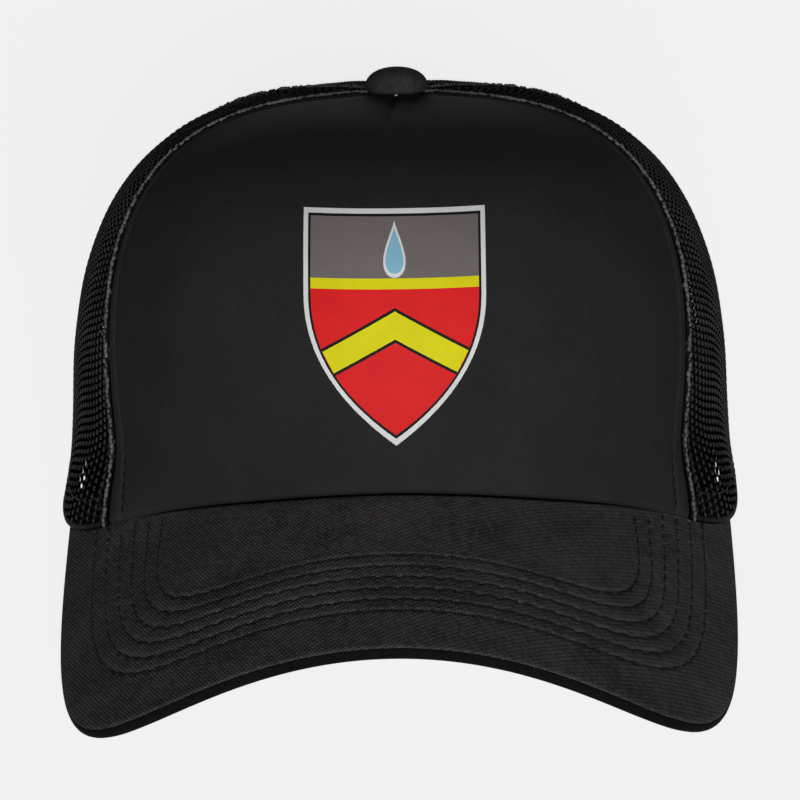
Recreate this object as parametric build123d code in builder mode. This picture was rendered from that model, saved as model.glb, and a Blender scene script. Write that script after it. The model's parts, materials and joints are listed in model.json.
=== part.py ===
from build123d import *
import os
from math import asin, atan, atan2, cos, degrees, exp, hypot, radians, sin, sqrt, tan

# A five-panel trucker cap with a mesh back and a snap closure, in millimetres.
#
# The pieces are drawn in the head's frame: the origin is the centre of the head opening, +Z runs up to
# the button, -Y runs forward over the visor and +X is the wearer's left. Azimuth 0 is the front of the
# crown, 90 the wearer's left side and 180 the back. Rise 0 is the hem of the crown and 90 its top.
# At the end every piece is tipped back together, so that the cap rests on its visor and its back hem.

# Crown
HALF_WIDTH = 86.0
FRONT_LENGTH = 101.0
BACK_LENGTH = 103.0
OVAL_POWER = 2.12
CROWN_HEIGHT = 100.6
APEX_SETBACK = 4.7
SIDE_POWER = 3.2
FRONT_POWER = 3.6
BACK_POWER = 3.3
FLARE = 1.8
FLARE_HEIGHT = 7.3
HEM_RUN_OUT = 16.0

# The visor's tips push the hem outward on both sides
PUSH = 6.5
PUSH_AZIMUTH = 53.7
PUSH_WIDTH = 15.1  # in degrees of azimuth
PUSH_HEIGHT = 16.0
PUSH_POWER = 2.9

# Panel seams: azimuth at the hem and how far it moves back towards the top
FRONT_SEAM_AZIMUTH = 45.3
FRONT_SEAM_SWEEP = 21.5
FRONT_SEAM_CURVE = 16.8
BACK_SEAM_AZIMUTH = 114.0
BACK_SEAM_SWEEP = 18.0
SEAM_GAP = 0.3

# Cloth, foam and tape
FRONT_CLOTH = 0.8
MESH_CLOTH = 1.0
FOAM = 1.8
TAPE = 0.6
PLY_GAP = 0.1
FOAM_MARGIN = 7.5
FOAM_TOP_REACH = 18.2  # from the button's axis
TAPE_HALF_WIDTH = 6.0
TAPE_TOP_REACH = 16.7
HEM_TAPE_HEIGHT = 9.0

# Openings of the side and back panels: a coarse grid that stands for the fine net's
NET_PITCH = 8.4
NET_ROW_PITCH = 10.6
NET_BAR = 2.2
NET_MARGIN = 1.5  # from the tapes and the binding to the nearest opening

# Sweatband
BAND_HEIGHT = 31.0
BAND_CLOTH = 1.4
BAND_DEPTH_FRONT = 3.1
BAND_STRAP_GAP = 0.4
BAND_END_GAP = 3.5

# Visor: a sheet rolled about the line through its middle
VISOR_ROLL_RADIUS = 112.0
VISOR_ROLL_TAPER = -0.175
VISOR_PITCH = 16.3
VISOR_ROOT_HEIGHT = 18.1
VISOR_HALF_SPAN = 92.4
VISOR_REACH = 134.8
VISOR_TIP_SETBACK = 31.4
VISOR_SIDE_POWER = 4.26
VISOR_FRONT_POWER = 4.9
VISOR_TIP_AZIMUTH = 60.0
VISOR_TIP_BEARING = 88.0
VISOR_CLOTH = 0.7
VISOR_BOARD = 1.8
VISOR_RIM = 0.8
VISOR_EDGE_GAP = 0.25
VISOR_ROOT_SPARE = 7.0

# Opening at the back, and the tape that binds its edge
ARCH_HALF_WIDTH = 43.0
ARCH_HEIGHT = 52.0
ARCH_POWER = 2.4
BINDING_WIDTH = 7.0
BINDING_TAPE = 0.6
BINDING_LIP = 0.8
BINDING_FOOT_TURN = 0.4

# Snap closure
STRAP_WIDTH = 18.0
STRAP_THICKNESS = 1.2
STRAP_BOTTOM = 3.0
STRAP_DEPTH = 2.1
STRAP_GAP = 0.25
STRAP_TIP_RADIUS = 7.0
STRAP_TIP_MARGIN = 5.0
STRAP_ROOT = 38.0
KNUCKLE_GAP = 0.15
TAB_LENGTH = 18.0
SNAP_PITCH = 8.0
SNAP_COUNT = 6
SNAP_FIRST = 12.0
PEG_RADIUS = 2.0
PEG_PROUD = 0.6
PEG_DOME = 0.5
SNAP_HOLE_RADIUS = 2.8

# Button
BUTTON_RADIUS = 8.2
BUTTON_HEIGHT = 6.4
BUTTON_EDGE = 1.3
BUTTON_MOUTH_RADIUS = 5.2
DOME_FULLNESS = 0.6
BUTTON_CLOTH = 0.5
BUTTON_METAL = 0.5
BUTTON_GAP = 0.1
RIVET_RADIUS = 1.6
RING_GAP = 1.7  # round the rivet, to the ends of the panels
RIVET_HEAD_RADIUS = 4.0
RIVET_HEAD_HEIGHT = 1.0
WASHER_RADIUS = 7.0
WASHER_THICKNESS = 0.6

# Emblem: a shield of thin film pressed on the front panel
EMBLEM_WIDTH = 43.0
EMBLEM_HEIGHT = 54.0
EMBLEM_MIDDLE = 57.0
EMBLEM_SHOULDER = 19.0
EMBLEM_FILM = 0.15

os.makedirs("parts", exist_ok=True)


def spread(first, last, count):
    """Evenly spaced values from first to last, both included."""
    return [first + (last - first) * i / (count - 1) for i in range(count)]


def ease(share):
    """A smooth step from 0 to 1."""
    share = min(max(share, 0), 1)
    return share * share * (3 - 2 * share)


def oval(azimuth, inset=0.0):
    """A point of the head opening's oval, moved inward by inset."""
    front = cos(radians(azimuth))
    side = sin(radians(azimuth))
    length = FRONT_LENGTH if front > 0 else BACK_LENGTH
    reach = (abs(front) / length) ** OVAL_POWER + (abs(side) / HALF_WIDTH) ** OVAL_POWER
    radius = reach ** (-1 / OVAL_POWER)
    point = Vector(radius * side, -radius * front, 0)
    if inset == 0:
        return point
    along = oval(azimuth + 0.5) - oval(azimuth - 0.5)
    return point + Vector(-along.Y, along.X, 0).normalized() * inset


def visor_height(x, y):
    """Height of the visor's upper face over a point of the head opening's plane."""
    radius = VISOR_ROLL_RADIUS + VISOR_ROLL_TAPER * (-FRONT_LENGTH - y)
    sag = radius - sqrt(radius * radius - x * x)
    return VISOR_ROOT_HEIGHT + tan(radians(VISOR_PITCH)) * (y + FRONT_LENGTH) - sag


def flare(height):
    """How far the mesh and cloth turn outward at a height above the hem's level."""
    return FLARE * exp(-((max(height, 0) / FLARE_HEIGHT) ** 1.5))


def hem_turn(azimuth, height):
    """How far the crown is turned and pushed outward at an azimuth and height."""
    from_front = abs((azimuth + 180) % 360 - 180)
    beside_visor = exp(-(((from_front - PUSH_AZIMUTH) / PUSH_WIDTH) ** 2))
    return flare(height) + PUSH * beside_visor * exp(-((max(height, 0) / PUSH_HEIGHT) ** PUSH_POWER))


def hem(azimuth):
    """Height of the crown's lower edge: it stands on the visor, and is level behind it."""
    from_front = abs((azimuth + 180) % 360 - 180)
    share = ease((VISOR_TIP_AZIMUTH + HEM_RUN_OUT - from_front) / HEM_RUN_OUT)
    if share == 0:
        return 0.0
    line = oval(azimuth)
    inner_face = oval(azimuth, FRONT_CLOTH - hem_turn(azimuth, visor_height(line.X, line.Y)))
    return share * visor_height(inner_face.X, inner_face.Y)


def shoulder_power(azimuth):
    """How square the crown's shoulder is at this azimuth."""
    front = cos(radians(azimuth))
    middle = FRONT_POWER if front > 0 else BACK_POWER
    return SIDE_POWER + (middle - SIDE_POWER) * front * front


def ring_rise(reach):
    """The rise at which the crown's sides pass this far from the button's axis."""
    share = reach / HALF_WIDTH
    return degrees(atan((share**-SIDE_POWER - 1) ** (1 / SIDE_POWER)))


def rise_at(azimuth, height):
    """The rise at which the crown passes this height."""
    power = shoulder_power(azimuth)
    share = (height - hem(azimuth)) / (CROWN_HEIGHT - hem(azimuth))
    share = min(max(share, 0), 1)
    return degrees(atan2(share, (1 - share**power) ** (1 / power)))


def crown_point(azimuth, rise, depth=0.0):
    """A point of the crown, at this depth under its outer face."""
    power = shoulder_power(azimuth)
    level = cos(radians(rise))
    up = sin(radians(rise))
    radius = (max(level, 0) ** power + max(up, 0) ** power) ** (-1 / power)
    height = hem(azimuth) + (CROWN_HEIGHT - hem(azimuth)) * radius * up
    share = radius * level
    edge = oval(azimuth) * (share + hem_turn(azimuth, height) / HALF_WIDTH)
    point = Vector(edge.X, edge.Y + APEX_SETBACK * (1 - share), height)
    if depth == 0:
        return point
    step = 0.5
    across = crown_point(azimuth + step, rise) - crown_point(azimuth - step, rise)
    higher = min(rise + step, 90)
    lower = max(rise - step, 0)
    upward = crown_point(azimuth, higher) - crown_point(azimuth, lower)
    return point - across.cross(upward).normalized() * depth


def front_seam(rise):
    """Azimuth of the seam between the front panel and a side panel."""
    share = rise / 90
    return FRONT_SEAM_AZIMUTH + FRONT_SEAM_SWEEP * share + FRONT_SEAM_CURVE * share**2


def back_seam(rise):
    """Azimuth of the seam between a side panel and a back panel."""
    return BACK_SEAM_AZIMUTH + BACK_SEAM_SWEEP * rise / 90


def centre_seam(rise):
    """Azimuth of the seam down the middle of the back."""
    return 180.0


def turn_for(width, azimuth, rise):
    """Degrees of azimuth that a width across the crown takes up at this place."""
    point = crown_point(azimuth, rise)
    radius = hypot(point.X, point.Y - APEX_SETBACK)
    return degrees(width / max(radius, 1.0))


def beside(seam, width):
    """The line that runs a width across the crown from a seam, towards the wearer's left if positive."""
    return lambda rise: seam(rise) + turn_for(width, seam(rise), rise)


def skin(points_at, depth, thickness):
    """A closed sheet between two depths: points_at gives rows of points at a depth."""
    outer = Face.make_surface_from_array_of_points(points_at(depth))
    inner = Face.make_surface_from_array_of_points(points_at(depth + thickness))
    walls = []
    for edge in outer.edges():
        facing = inner.edges().sort_by_distance(edge @ 0.5)[0]
        walls.append(Face.make_surface_from_curves(edge, facing))
    return add(Solid(Shell([outer, inner, *walls])))


def crown_panel(left, right, thickness, depth=0.0, bottom=0.0, reach=RIVET_RADIUS + RING_GAP, columns=31):
    """A panel of the crown between two lines of azimuth by rise, ending at a reach from the button."""

    def points_at(level):
        rows = []
        for rise in spread(bottom, ring_rise(reach), 31):
            azimuths = spread(left(rise), right(rise), columns)
            rows.append([crown_point(azimuth, rise, level) for azimuth in azimuths])
        return rows

    return skin(points_at, depth, thickness)


def level_band(bottom, top, starts, ends, thickness, depth, columns):
    """A band round the crown between two heights above the hem; depth is given azimuth and height."""

    def points_at(extra):
        rows = []
        for height in spread(bottom, top, 13):
            row = []
            for azimuth in spread(starts, ends, columns):
                level = hem(azimuth) + height
                row.append(crown_point(azimuth, rise_at(azimuth, level), depth(azimuth, level) + extra))
            rows.append(row)
        return rows

    return skin(points_at, 0, thickness)


def arch_share(point, margin):
    """Below 1 inside the back opening's edge moved outward by a margin, above 1 outside it."""
    across = abs(point.X) / (ARCH_HALF_WIDTH + margin)
    up = max(point.Z, 0) / (ARCH_HEIGHT + margin)
    return across**ARCH_POWER + up**ARCH_POWER if point.Y > 0 else 2.0


def net_rows(left, right):
    """Rises of a panel's rows of openings, at even distances up its middle from the hem tape."""
    middle = (left(0) + right(0)) / 2
    opening_height = NET_ROW_PITCH - NET_BAR
    rise = rise_at(middle, hem(middle) + HEM_TAPE_HEIGHT + NET_MARGIN + opening_height / 2)
    rows = [rise]
    walked = 0.0
    step = 0.25
    while rise + step < ring_rise(TAPE_TOP_REACH):
        walked += (crown_point(middle, rise + step) - crown_point(middle, rise)).length
        rise += step
        if walked >= NET_ROW_PITCH:
            rows.append(rise)
            walked = 0.0
    return rows


def net_places(left, right):
    """Where a panel's openings lie: planes on the crown, level across and square to its face."""
    places = []
    opening_width = NET_PITCH - NET_BAR
    from_arch = BINDING_WIDTH + NET_MARGIN + hypot(opening_width, NET_ROW_PITCH - NET_BAR) / 2
    for rise in net_rows(left, right):
        middle = (left(rise) + right(rise)) / 2
        clear = (right(rise) - left(rise)) / turn_for(1, middle, rise) - 2 * (TAPE_HALF_WIDTH + NET_MARGIN)
        count = int((clear + NET_BAR) / NET_PITCH)
        for number in range(count):
            azimuth = middle + turn_for((number - (count - 1) / 2) * NET_PITCH, middle, rise)
            point = crown_point(azimuth, rise, MESH_CLOTH / 2)
            if arch_share(point, from_arch) > 1:
                outward = crown_point(azimuth, rise) - point
                level = crown_point(azimuth + 0.5, rise) - crown_point(azimuth - 0.5, rise)
                places.append(Plane(point, x_dir=level, z_dir=outward))
    return places


def cut_net(left, right):
    """Cut a panel's openings."""
    with Locations(*net_places(left, right)):
        Box(NET_PITCH - NET_BAR, NET_ROW_PITCH - NET_BAR, 4 * MESH_CLOTH, mode=Mode.SUBTRACT)


# Crown panels. Each stops half a seam gap short of its seams.
half_gap = SEAM_GAP / 2


def right_front_seam(rise):
    """Azimuth of the seam between the front panel and the right side panel."""
    return -front_seam(rise)


with BuildPart() as front_panel:
    crown_panel(beside(right_front_seam, half_gap), beside(front_seam, -half_gap), FRONT_CLOTH, columns=41)



def shield():
    """The emblem's outline seen from the front: square shoulders, then sides that round in to a point."""
    half = EMBLEM_WIDTH / 2
    top = EMBLEM_MIDDLE + EMBLEM_HEIGHT / 2
    with BuildSketch(Plane.XZ) as outline:
        with BuildLine():
            shoulders = Polyline(
                (-half, top - EMBLEM_SHOULDER), (-half, top), (half, top), (half, top - EMBLEM_SHOULDER)
            )
            for corner in (shoulders @ 0, shoulders @ 1):
                Bezier(corner, corner - (0, EMBLEM_SHOULDER), (0, top - EMBLEM_HEIGHT))
        make_face()
    return outline.sketch


with BuildPart() as front_emblem:
    past_edge = degrees(asin(EMBLEM_WIDTH / FRONT_LENGTH))
    turns = [lambda rise, turn=turn: turn for turn in (-past_edge, past_edge)]
    crown_panel(*turns, EMBLEM_FILM, depth=-PLY_GAP - EMBLEM_FILM)
    extrude(shield(), amount=FRONT_LENGTH + 2 * HEM_RUN_OUT, mode=Mode.INTERSECT)

with BuildPart() as front_foam_lining:
    crown_panel(
        beside(right_front_seam, FOAM_MARGIN),
        beside(front_seam, -FOAM_MARGIN),
        FOAM,
        depth=FRONT_CLOTH + PLY_GAP,
        reach=FOAM_TOP_REACH,
        columns=41,
    )

with BuildPart() as left_side_mesh:
    crown_panel(beside(front_seam, half_gap), beside(back_seam, -half_gap), MESH_CLOTH)
    cut_net(front_seam, back_seam)

with BuildPart() as right_side_mesh:
    mirror(left_side_mesh.part, about=Plane.YZ)


def arch_edge(turn, margin):
    """The back opening's edge seen from behind, as (x, height): turn runs from 0 to 180."""
    wide = abs(cos(radians(turn))) ** (2 / ARCH_POWER)
    high = abs(sin(radians(turn))) ** (2 / ARCH_POWER)
    side = 1 if turn < 90 else -1
    return side * (ARCH_HALF_WIDTH + margin) * wide, (ARCH_HEIGHT + margin) * high


def arch_window(margin):
    """The outline of the back opening, moved outward by a margin, as a face inside the crown."""
    half = ARCH_HALF_WIDTH + margin
    with BuildSketch(Plane.XZ.offset(-BACK_LENGTH / 3)) as window:
        with BuildLine():
            Spline([arch_edge(turn, margin) for turn in spread(0, 180, 25)])
            Polyline((-half, 0), (-half, -ARCH_HEIGHT), (half, -ARCH_HEIGHT), (half, 0))
        make_face()
    return window.sketch


opening = arch_window(0)
taped_opening = arch_window(BINDING_WIDTH + PLY_GAP)

with BuildPart() as left_back_mesh:
    crown_panel(beside(back_seam, half_gap), beside(centre_seam, -half_gap), MESH_CLOTH)
    extrude(opening, amount=-BACK_LENGTH, mode=Mode.SUBTRACT)
    cut_net(back_seam, centre_seam)

with BuildPart() as right_back_mesh:
    mirror(left_back_mesh.part, about=Plane.YZ)

# Seam tapes, inside the panels, and hem tapes below them
tape_depth = MESH_CLOTH + PLY_GAP
tape_foot = HEM_TAPE_HEIGHT + 2 * PLY_GAP


def seam_tape(seam):
    """The tape over the inside of one seam, from the hem tape up to the button."""
    foot = rise_at(seam(0), hem(seam(0)) + tape_foot)
    left, right = beside(seam, -TAPE_HALF_WIDTH), beside(seam, TAPE_HALF_WIDTH)
    return crown_panel(left, right, TAPE, tape_depth, foot, TAPE_TOP_REACH, columns=5)


with BuildPart() as left_front_seam_tape:
    seam_tape(front_seam)

with BuildPart() as right_front_seam_tape:
    mirror(left_front_seam_tape.part, about=Plane.YZ)

with BuildPart() as left_back_seam_tape:
    seam_tape(back_seam)

with BuildPart() as right_back_seam_tape:
    mirror(left_back_seam_tape.part, about=Plane.YZ)

with BuildPart() as centre_back_seam_tape:
    seam_tape(centre_seam)
    extrude(taped_opening, amount=-BACK_LENGTH, mode=Mode.SUBTRACT)


def side_azimuth(x):
    """Azimuth at which the back half of the hem's oval is this far to the wearer's left."""
    low, high = 90.0, 180.0
    for _ in range(40):
        middle = (low + high) / 2
        if oval(middle).X > x:
            low = middle
        else:
            high = middle
    return low


arch_azimuth = side_azimuth(ARCH_HALF_WIDTH + BINDING_WIDTH + 3 * PLY_GAP)

with BuildPart() as left_hem_tape:
    tape_start = FRONT_SEAM_AZIMUTH + 1
    level_band(PLY_GAP, HEM_TAPE_HEIGHT, tape_start, arch_azimuth, TAPE, lambda *place: tape_depth, 61)

with BuildPart() as right_hem_tape:
    mirror(left_hem_tape.part, about=Plane.YZ)

# Visor


def visor_point(across, along, depth):
    """A point of the visor at this depth: across is its place on the flat pattern, along its -Y place."""
    radius = VISOR_ROLL_RADIUS + VISOR_ROLL_TAPER * (along - FRONT_LENGTH)
    turn = across / radius
    pitch = tan(radians(VISOR_PITCH))
    x = radius * sin(turn)
    point = Vector(x, -along, visor_height(x, -along))
    lean = Vector(sin(turn), -pitch, cos(turn)).normalized()
    return point - lean * depth


def visor_edge(bearing, margin):
    """The visor's outer edge on its flat pattern, moved inward by a margin, as (across, along)."""
    front = abs(cos(radians(bearing)))
    side = abs(sin(radians(bearing)))
    power = VISOR_SIDE_POWER * side**2 + VISOR_FRONT_POWER * front**2
    reach = VISOR_REACH - margin
    span = VISOR_HALF_SPAN - margin
    radius = ((front / reach) ** power + (side / span) ** power) ** (-1 / power)
    return radius * sin(radians(bearing)), VISOR_TIP_SETBACK + radius * cos(radians(bearing))


def visor_root(bearing, inset):
    """The visor's inner edge, under the crown's hem, on its flat pattern, as (across, along)."""
    point = oval(bearing / VISOR_TIP_BEARING * VISOR_TIP_AZIMUTH, inset)
    radius = VISOR_ROLL_RADIUS + VISOR_ROLL_TAPER * (-FRONT_LENGTH - point.Y)
    return radius * asin(point.X / radius), -point.Y


def visor_layer(depth, thickness, margin, inset):
    """One layer of the visor at a depth under its upper face."""

    def points_at(level):
        rows = []
        for share in spread(0, 1, 13):
            row = []
            for bearing in spread(-VISOR_TIP_BEARING, VISOR_TIP_BEARING, 61):
                inner = visor_root(bearing, inset)
                outer = visor_edge(bearing, margin)
                across = inner[0] + (outer[0] - inner[0]) * share
                along = inner[1] + (outer[1] - inner[1]) * share
                row.append(visor_point(across, along, level))
            rows.append(row)
        return rows

    return skin(points_at, depth, thickness)


board_depth = VISOR_CLOTH + 2 * PLY_GAP
under_depth = board_depth + VISOR_BOARD + PLY_GAP
visor_thickness = under_depth + VISOR_CLOTH
filling_margin = VISOR_RIM + VISOR_EDGE_GAP

# The visor's root ends under the crown's cloth, along this upright cut
with BuildPart() as head_hole:
    with BuildSketch(Plane.XY.offset(-CROWN_HEIGHT / 2)):
        with BuildLine():
            hem_line = [crown_point(azimuth, 0, FRONT_CLOTH) for azimuth in spread(-90, 90, 37)]
            root = Spline([(point.X, point.Y) for point in hem_line])
            Polyline(root @ 1, (HALF_WIDTH, BACK_LENGTH), (-HALF_WIDTH, BACK_LENGTH), root @ 0)
        make_face()
    extrude(amount=CROWN_HEIGHT)

with BuildPart() as visor_board:
    visor_layer(board_depth, VISOR_BOARD, filling_margin, VISOR_ROOT_SPARE)
    add(head_hole.part, mode=Mode.SUBTRACT)

with BuildPart() as visor_under_cover:
    visor_layer(under_depth, VISOR_CLOTH, filling_margin, VISOR_ROOT_SPARE)
    add(head_hole.part, mode=Mode.SUBTRACT)

with BuildPart() as visor_filling:
    visor_layer(PLY_GAP + VISOR_CLOTH, visor_thickness, VISOR_RIM, VISOR_ROOT_SPARE + VISOR_RIM)

with BuildPart() as visor_top_cover:
    visor_layer(PLY_GAP, visor_thickness - PLY_GAP, 0, VISOR_ROOT_SPARE)
    add(visor_filling.part, mode=Mode.SUBTRACT)
    add(head_hole.part, mode=Mode.SUBTRACT)

# Binding: a tape folded over the edge of the back opening


def back_point(x, height, depth):
    """The point of the crown's back at this x and height, at a depth under its outer face."""
    low, high = 90.0, 180.0
    for _ in range(30):
        middle = (low + high) / 2
        if crown_point(middle, rise_at(middle, height)).X > abs(x):
            low = middle
        else:
            high = middle
    point = crown_point(low, rise_at(low, height), depth)
    return Vector(point.X if x > 0 else -point.X, point.Y, point.Z)


def arch_layer(depth, thickness, inner, outer, foot):
    """A layer round the back opening between two margins; it starts a foot turn above the hem."""

    def points_at(level):
        rows = []
        for margin in spread(inner, outer, 5):
            edge = [arch_edge(turn, margin) for turn in spread(foot, 180 - foot, 45)]
            rows.append([back_point(x, height, level) for x, height in edge])
        return rows

    return skin(points_at, depth, thickness)


binding_thickness = MESH_CLOTH + 2 * PLY_GAP + 2 * BINDING_TAPE

with BuildPart() as binding_fold:
    arch_layer(-PLY_GAP, MESH_CLOTH + 2 * PLY_GAP, -PLY_GAP, BINDING_WIDTH + 1, 0)

with BuildPart() as back_opening_binding:
    arch_layer(-PLY_GAP - BINDING_TAPE, binding_thickness, -BINDING_LIP, BINDING_WIDTH, BINDING_FOOT_TURN)
    add(binding_fold.part, mode=Mode.SUBTRACT)

# Snap closure: two straps on arcs about one centre line, the peg strap inside the hole strap.
# Each is bent from its sewn tab by a hinge with a round knuckle.
strap_front = oval(side_azimuth(STRAP_ROOT + TAB_LENGTH), STRAP_DEPTH)
strap_back = BACK_LENGTH - STRAP_DEPTH
strap_bulge = strap_back - strap_front.Y
hole_strap_radius = (strap_front.X**2 + strap_bulge**2) / (2 * strap_bulge)
peg_strap_radius = hole_strap_radius - STRAP_THICKNESS - STRAP_GAP
strap_centre = strap_back - hole_strap_radius
strap_middle = STRAP_BOTTOM + STRAP_WIDTH / 2


def strap_turn(distance):
    """Degrees about the straps' centre line for a distance along the hole strap from the middle."""
    return degrees(distance / hole_strap_radius)


def strap_point(radius, turn, height):
    """A point at a radius and a turn about the straps' centre line, towards the wearer's left."""
    return Vector(radius * sin(radians(turn)), strap_centre + radius * cos(radians(turn)), height)


def strap_plan(radius, start, end):
    """The plan of a strip one strap thick whose outer face has this radius, between two turns."""
    inner = radius - STRAP_THICKNESS
    with BuildSketch(Plane.XY.offset(STRAP_BOTTOM)) as plan:
        with BuildLine():
            CenterArc((0, strap_centre), radius, 90 - start, start - end)
            CenterArc((0, strap_centre), inner, 90 - start, start - end)
            for turn in (start, end):
                near, far = strap_point(inner, turn, 0), strap_point(radius, turn, 0)
                Line((near.X, near.Y), (far.X, far.Y))
        make_face()
    return plan.sketch


def knuckle(radius, side):
    """The hinge point of a strap, in the middle of its thickness and of its width."""
    return strap_point(radius - STRAP_THICKNESS / 2, side * strap_turn(STRAP_ROOT), strap_middle)


def strap_body(radius, side):
    """A strap from its knuckle on one side to its rounded tip past the middle."""
    tip_turn = -side * strap_turn(SNAP_FIRST + STRAP_TIP_MARGIN)
    strap = extrude(strap_plan(radius, side * strap_turn(STRAP_ROOT), tip_turn), amount=STRAP_WIDTH)
    corners = strap.edges().filter_by(lambda edge: edge.length < 2 * STRAP_THICKNESS)
    across_tip = corners.sort_by_distance(strap_point(radius, tip_turn, strap_middle))[0:2]
    fillet(across_tip, STRAP_TIP_RADIUS)
    with Locations(knuckle(radius, side)):
        Cylinder(STRAP_THICKNESS / 2, STRAP_WIDTH)


def sewn_tab(radius, side):
    """The sewn end of a strap, clear of its knuckle."""
    start = STRAP_ROOT + STRAP_THICKNESS / 2 + KNUCKLE_GAP
    end = STRAP_ROOT + TAB_LENGTH
    extrude(strap_plan(radius, side * strap_turn(start), side * strap_turn(end)), amount=STRAP_WIDTH)


def snap_planes(radius, side):
    """A plane at each snap of a strap, facing outward; side is where the strap is sewn."""
    planes = []
    for number in range(SNAP_COUNT):
        turn = -side * strap_turn(SNAP_FIRST - number * SNAP_PITCH)
        outward = strap_point(1, turn, 0) - Vector(0, strap_centre, 0)
        planes.append(Plane(strap_point(radius, turn, strap_middle), z_dir=outward))
    return planes


with BuildPart() as hole_strap:
    strap_body(hole_strap_radius, 1)
    for plane in snap_planes(hole_strap_radius, 1):
        with BuildSketch(plane):
            Circle(SNAP_HOLE_RADIUS)
        extrude(amount=2 * STRAP_THICKNESS, both=True, mode=Mode.SUBTRACT)

with BuildPart() as hole_strap_tab:
    sewn_tab(hole_strap_radius, 1)

peg_height = STRAP_GAP + STRAP_THICKNESS + PEG_PROUD
peg_root = STRAP_THICKNESS / 2

with BuildPart() as peg:
    with BuildSketch(Plane.XY.offset(-peg_root)):
        Circle(PEG_RADIUS)
    extrude(amount=peg_root + peg_height)
    fillet(peg.edges().sort_by(Axis.Z)[-1], PEG_DOME)

with BuildPart() as peg_strap:
    strap_body(peg_strap_radius, -1)
    with Locations(*snap_planes(peg_strap_radius, -1)):
        add(peg.part)

with BuildPart() as peg_strap_tab:
    sewn_tab(peg_strap_radius, -1)

# Sweatband: an open ring whose ends stop beside the back opening, inside the straps' sewn tabs
band_end = side_azimuth(ARCH_HALF_WIDTH + BAND_END_GAP)


def depth_under_oval(point):
    """How far inside the head opening's oval a point at its back lies."""
    point = Vector(point.X, point.Y, 0)
    return min((oval(azimuth) - point).length for azimuth in spread(90, 180, 361))


tab_turns = [strap_turn(distance) for distance in spread(STRAP_ROOT, STRAP_ROOT + TAB_LENGTH, 7)]
tab_backs = [strap_point(peg_strap_radius - STRAP_THICKNESS, turn, strap_middle) for turn in tab_turns]
band_depth_back = max(depth_under_oval(point) for point in tab_backs) + BAND_STRAP_GAP


def band_depth(azimuth, height):
    """How far inside the crown's outer face the sweatband lies: it hangs straight inside the flare."""
    back = (1 - cos(radians(azimuth))) / (1 - cos(radians(band_end)))
    return BAND_DEPTH_FRONT + (band_depth_back - BAND_DEPTH_FRONT) * back + flare(height)


with BuildPart() as sweatband:
    level_band(PLY_GAP, BAND_HEIGHT, -band_end, band_end, BAND_CLOTH, band_depth, 61)

# Button: a cloth-covered metal dome, held from inside by a rivet and a washer
button_base = CROWN_HEIGHT + BUTTON_GAP
button_axis = Axis((0, APEX_SETBACK, 0), (0, 0, 1))
button_plane = Plane((0, APEX_SETBACK, button_base), x_dir=(1, 0, 0), z_dir=(0, -1, 0))


def dome(inset, mode=Mode.ADD):
    """The button's dome, drawn in from its outer face on every side."""
    radius = BUTTON_RADIUS - inset
    edge = BUTTON_EDGE - inset / 2
    crest = BUTTON_HEIGHT - inset
    with BuildSketch(button_plane) as profile:
        with BuildLine():
            Polyline((0, crest), (0, inset), (radius - edge, inset))
            CenterArc((radius - edge, inset + edge), edge, -90, 90)
            Bezier(
                (radius, inset + edge),
                (radius, inset + edge + DOME_FULLNESS * (crest - inset - edge)),
                (DOME_FULLNESS * radius, crest),
                (0, crest),
            )
        make_face()
    revolve(profile.sketch, axis=button_axis, mode=mode)


def disc(radius, bottom, top, mode=Mode.ADD):
    """A disc round the button's axis between two heights."""
    with Locations((0, APEX_SETBACK, (bottom + top) / 2)):
        Cylinder(radius, top - bottom, mode=mode)


shell_inset = BUTTON_CLOTH + PLY_GAP
shell_roof = button_base + BUTTON_HEIGHT - shell_inset - BUTTON_METAL

with BuildPart() as button_cover:
    dome(0)
    dome(BUTTON_CLOTH, Mode.SUBTRACT)
    disc(BUTTON_MOUTH_RADIUS, button_base - BUTTON_GAP, button_base + BUTTON_EDGE, Mode.SUBTRACT)

with BuildPart() as button_shell:
    dome(shell_inset)
    dome(shell_inset + BUTTON_METAL, Mode.SUBTRACT)
    disc(BUTTON_MOUTH_RADIUS, button_base - BUTTON_GAP, button_base + BUTTON_EDGE, Mode.SUBTRACT)

washer_top = CROWN_HEIGHT - MESH_CLOTH - PLY_GAP
washer_bottom = washer_top - WASHER_THICKNESS

with BuildPart() as button_washer:
    disc(WASHER_RADIUS, washer_bottom, washer_top)
    disc(RIVET_RADIUS + PLY_GAP, washer_bottom, washer_top, Mode.SUBTRACT)

with BuildPart() as button_rivet:
    disc(RIVET_RADIUS, washer_bottom - PLY_GAP, shell_roof - PLY_GAP)
    disc(RIVET_HEAD_RADIUS, washer_bottom - PLY_GAP - RIVET_HEAD_HEIGHT, washer_bottom - PLY_GAP)

# At rest the cap stands on its visor's two front corners and on the hem beside the back opening
hem_rest = crown_point(side_azimuth(ARCH_HALF_WIDTH + BINDING_WIDTH), 0)


def rest_slope(bearing):
    """Slope of the line from the back hem to the visor's lower edge at this bearing."""
    corner = visor_point(*visor_edge(bearing, 0), visor_thickness)
    return degrees(atan2(hem_rest.Z - corner.Z, hem_rest.Y - corner.Y))


rest_tilt = max(rest_slope(bearing) for bearing in spread(0, VISOR_TIP_BEARING, 89))
rest = Location((0, 0, 0), (-rest_tilt, 0, 0))

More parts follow.
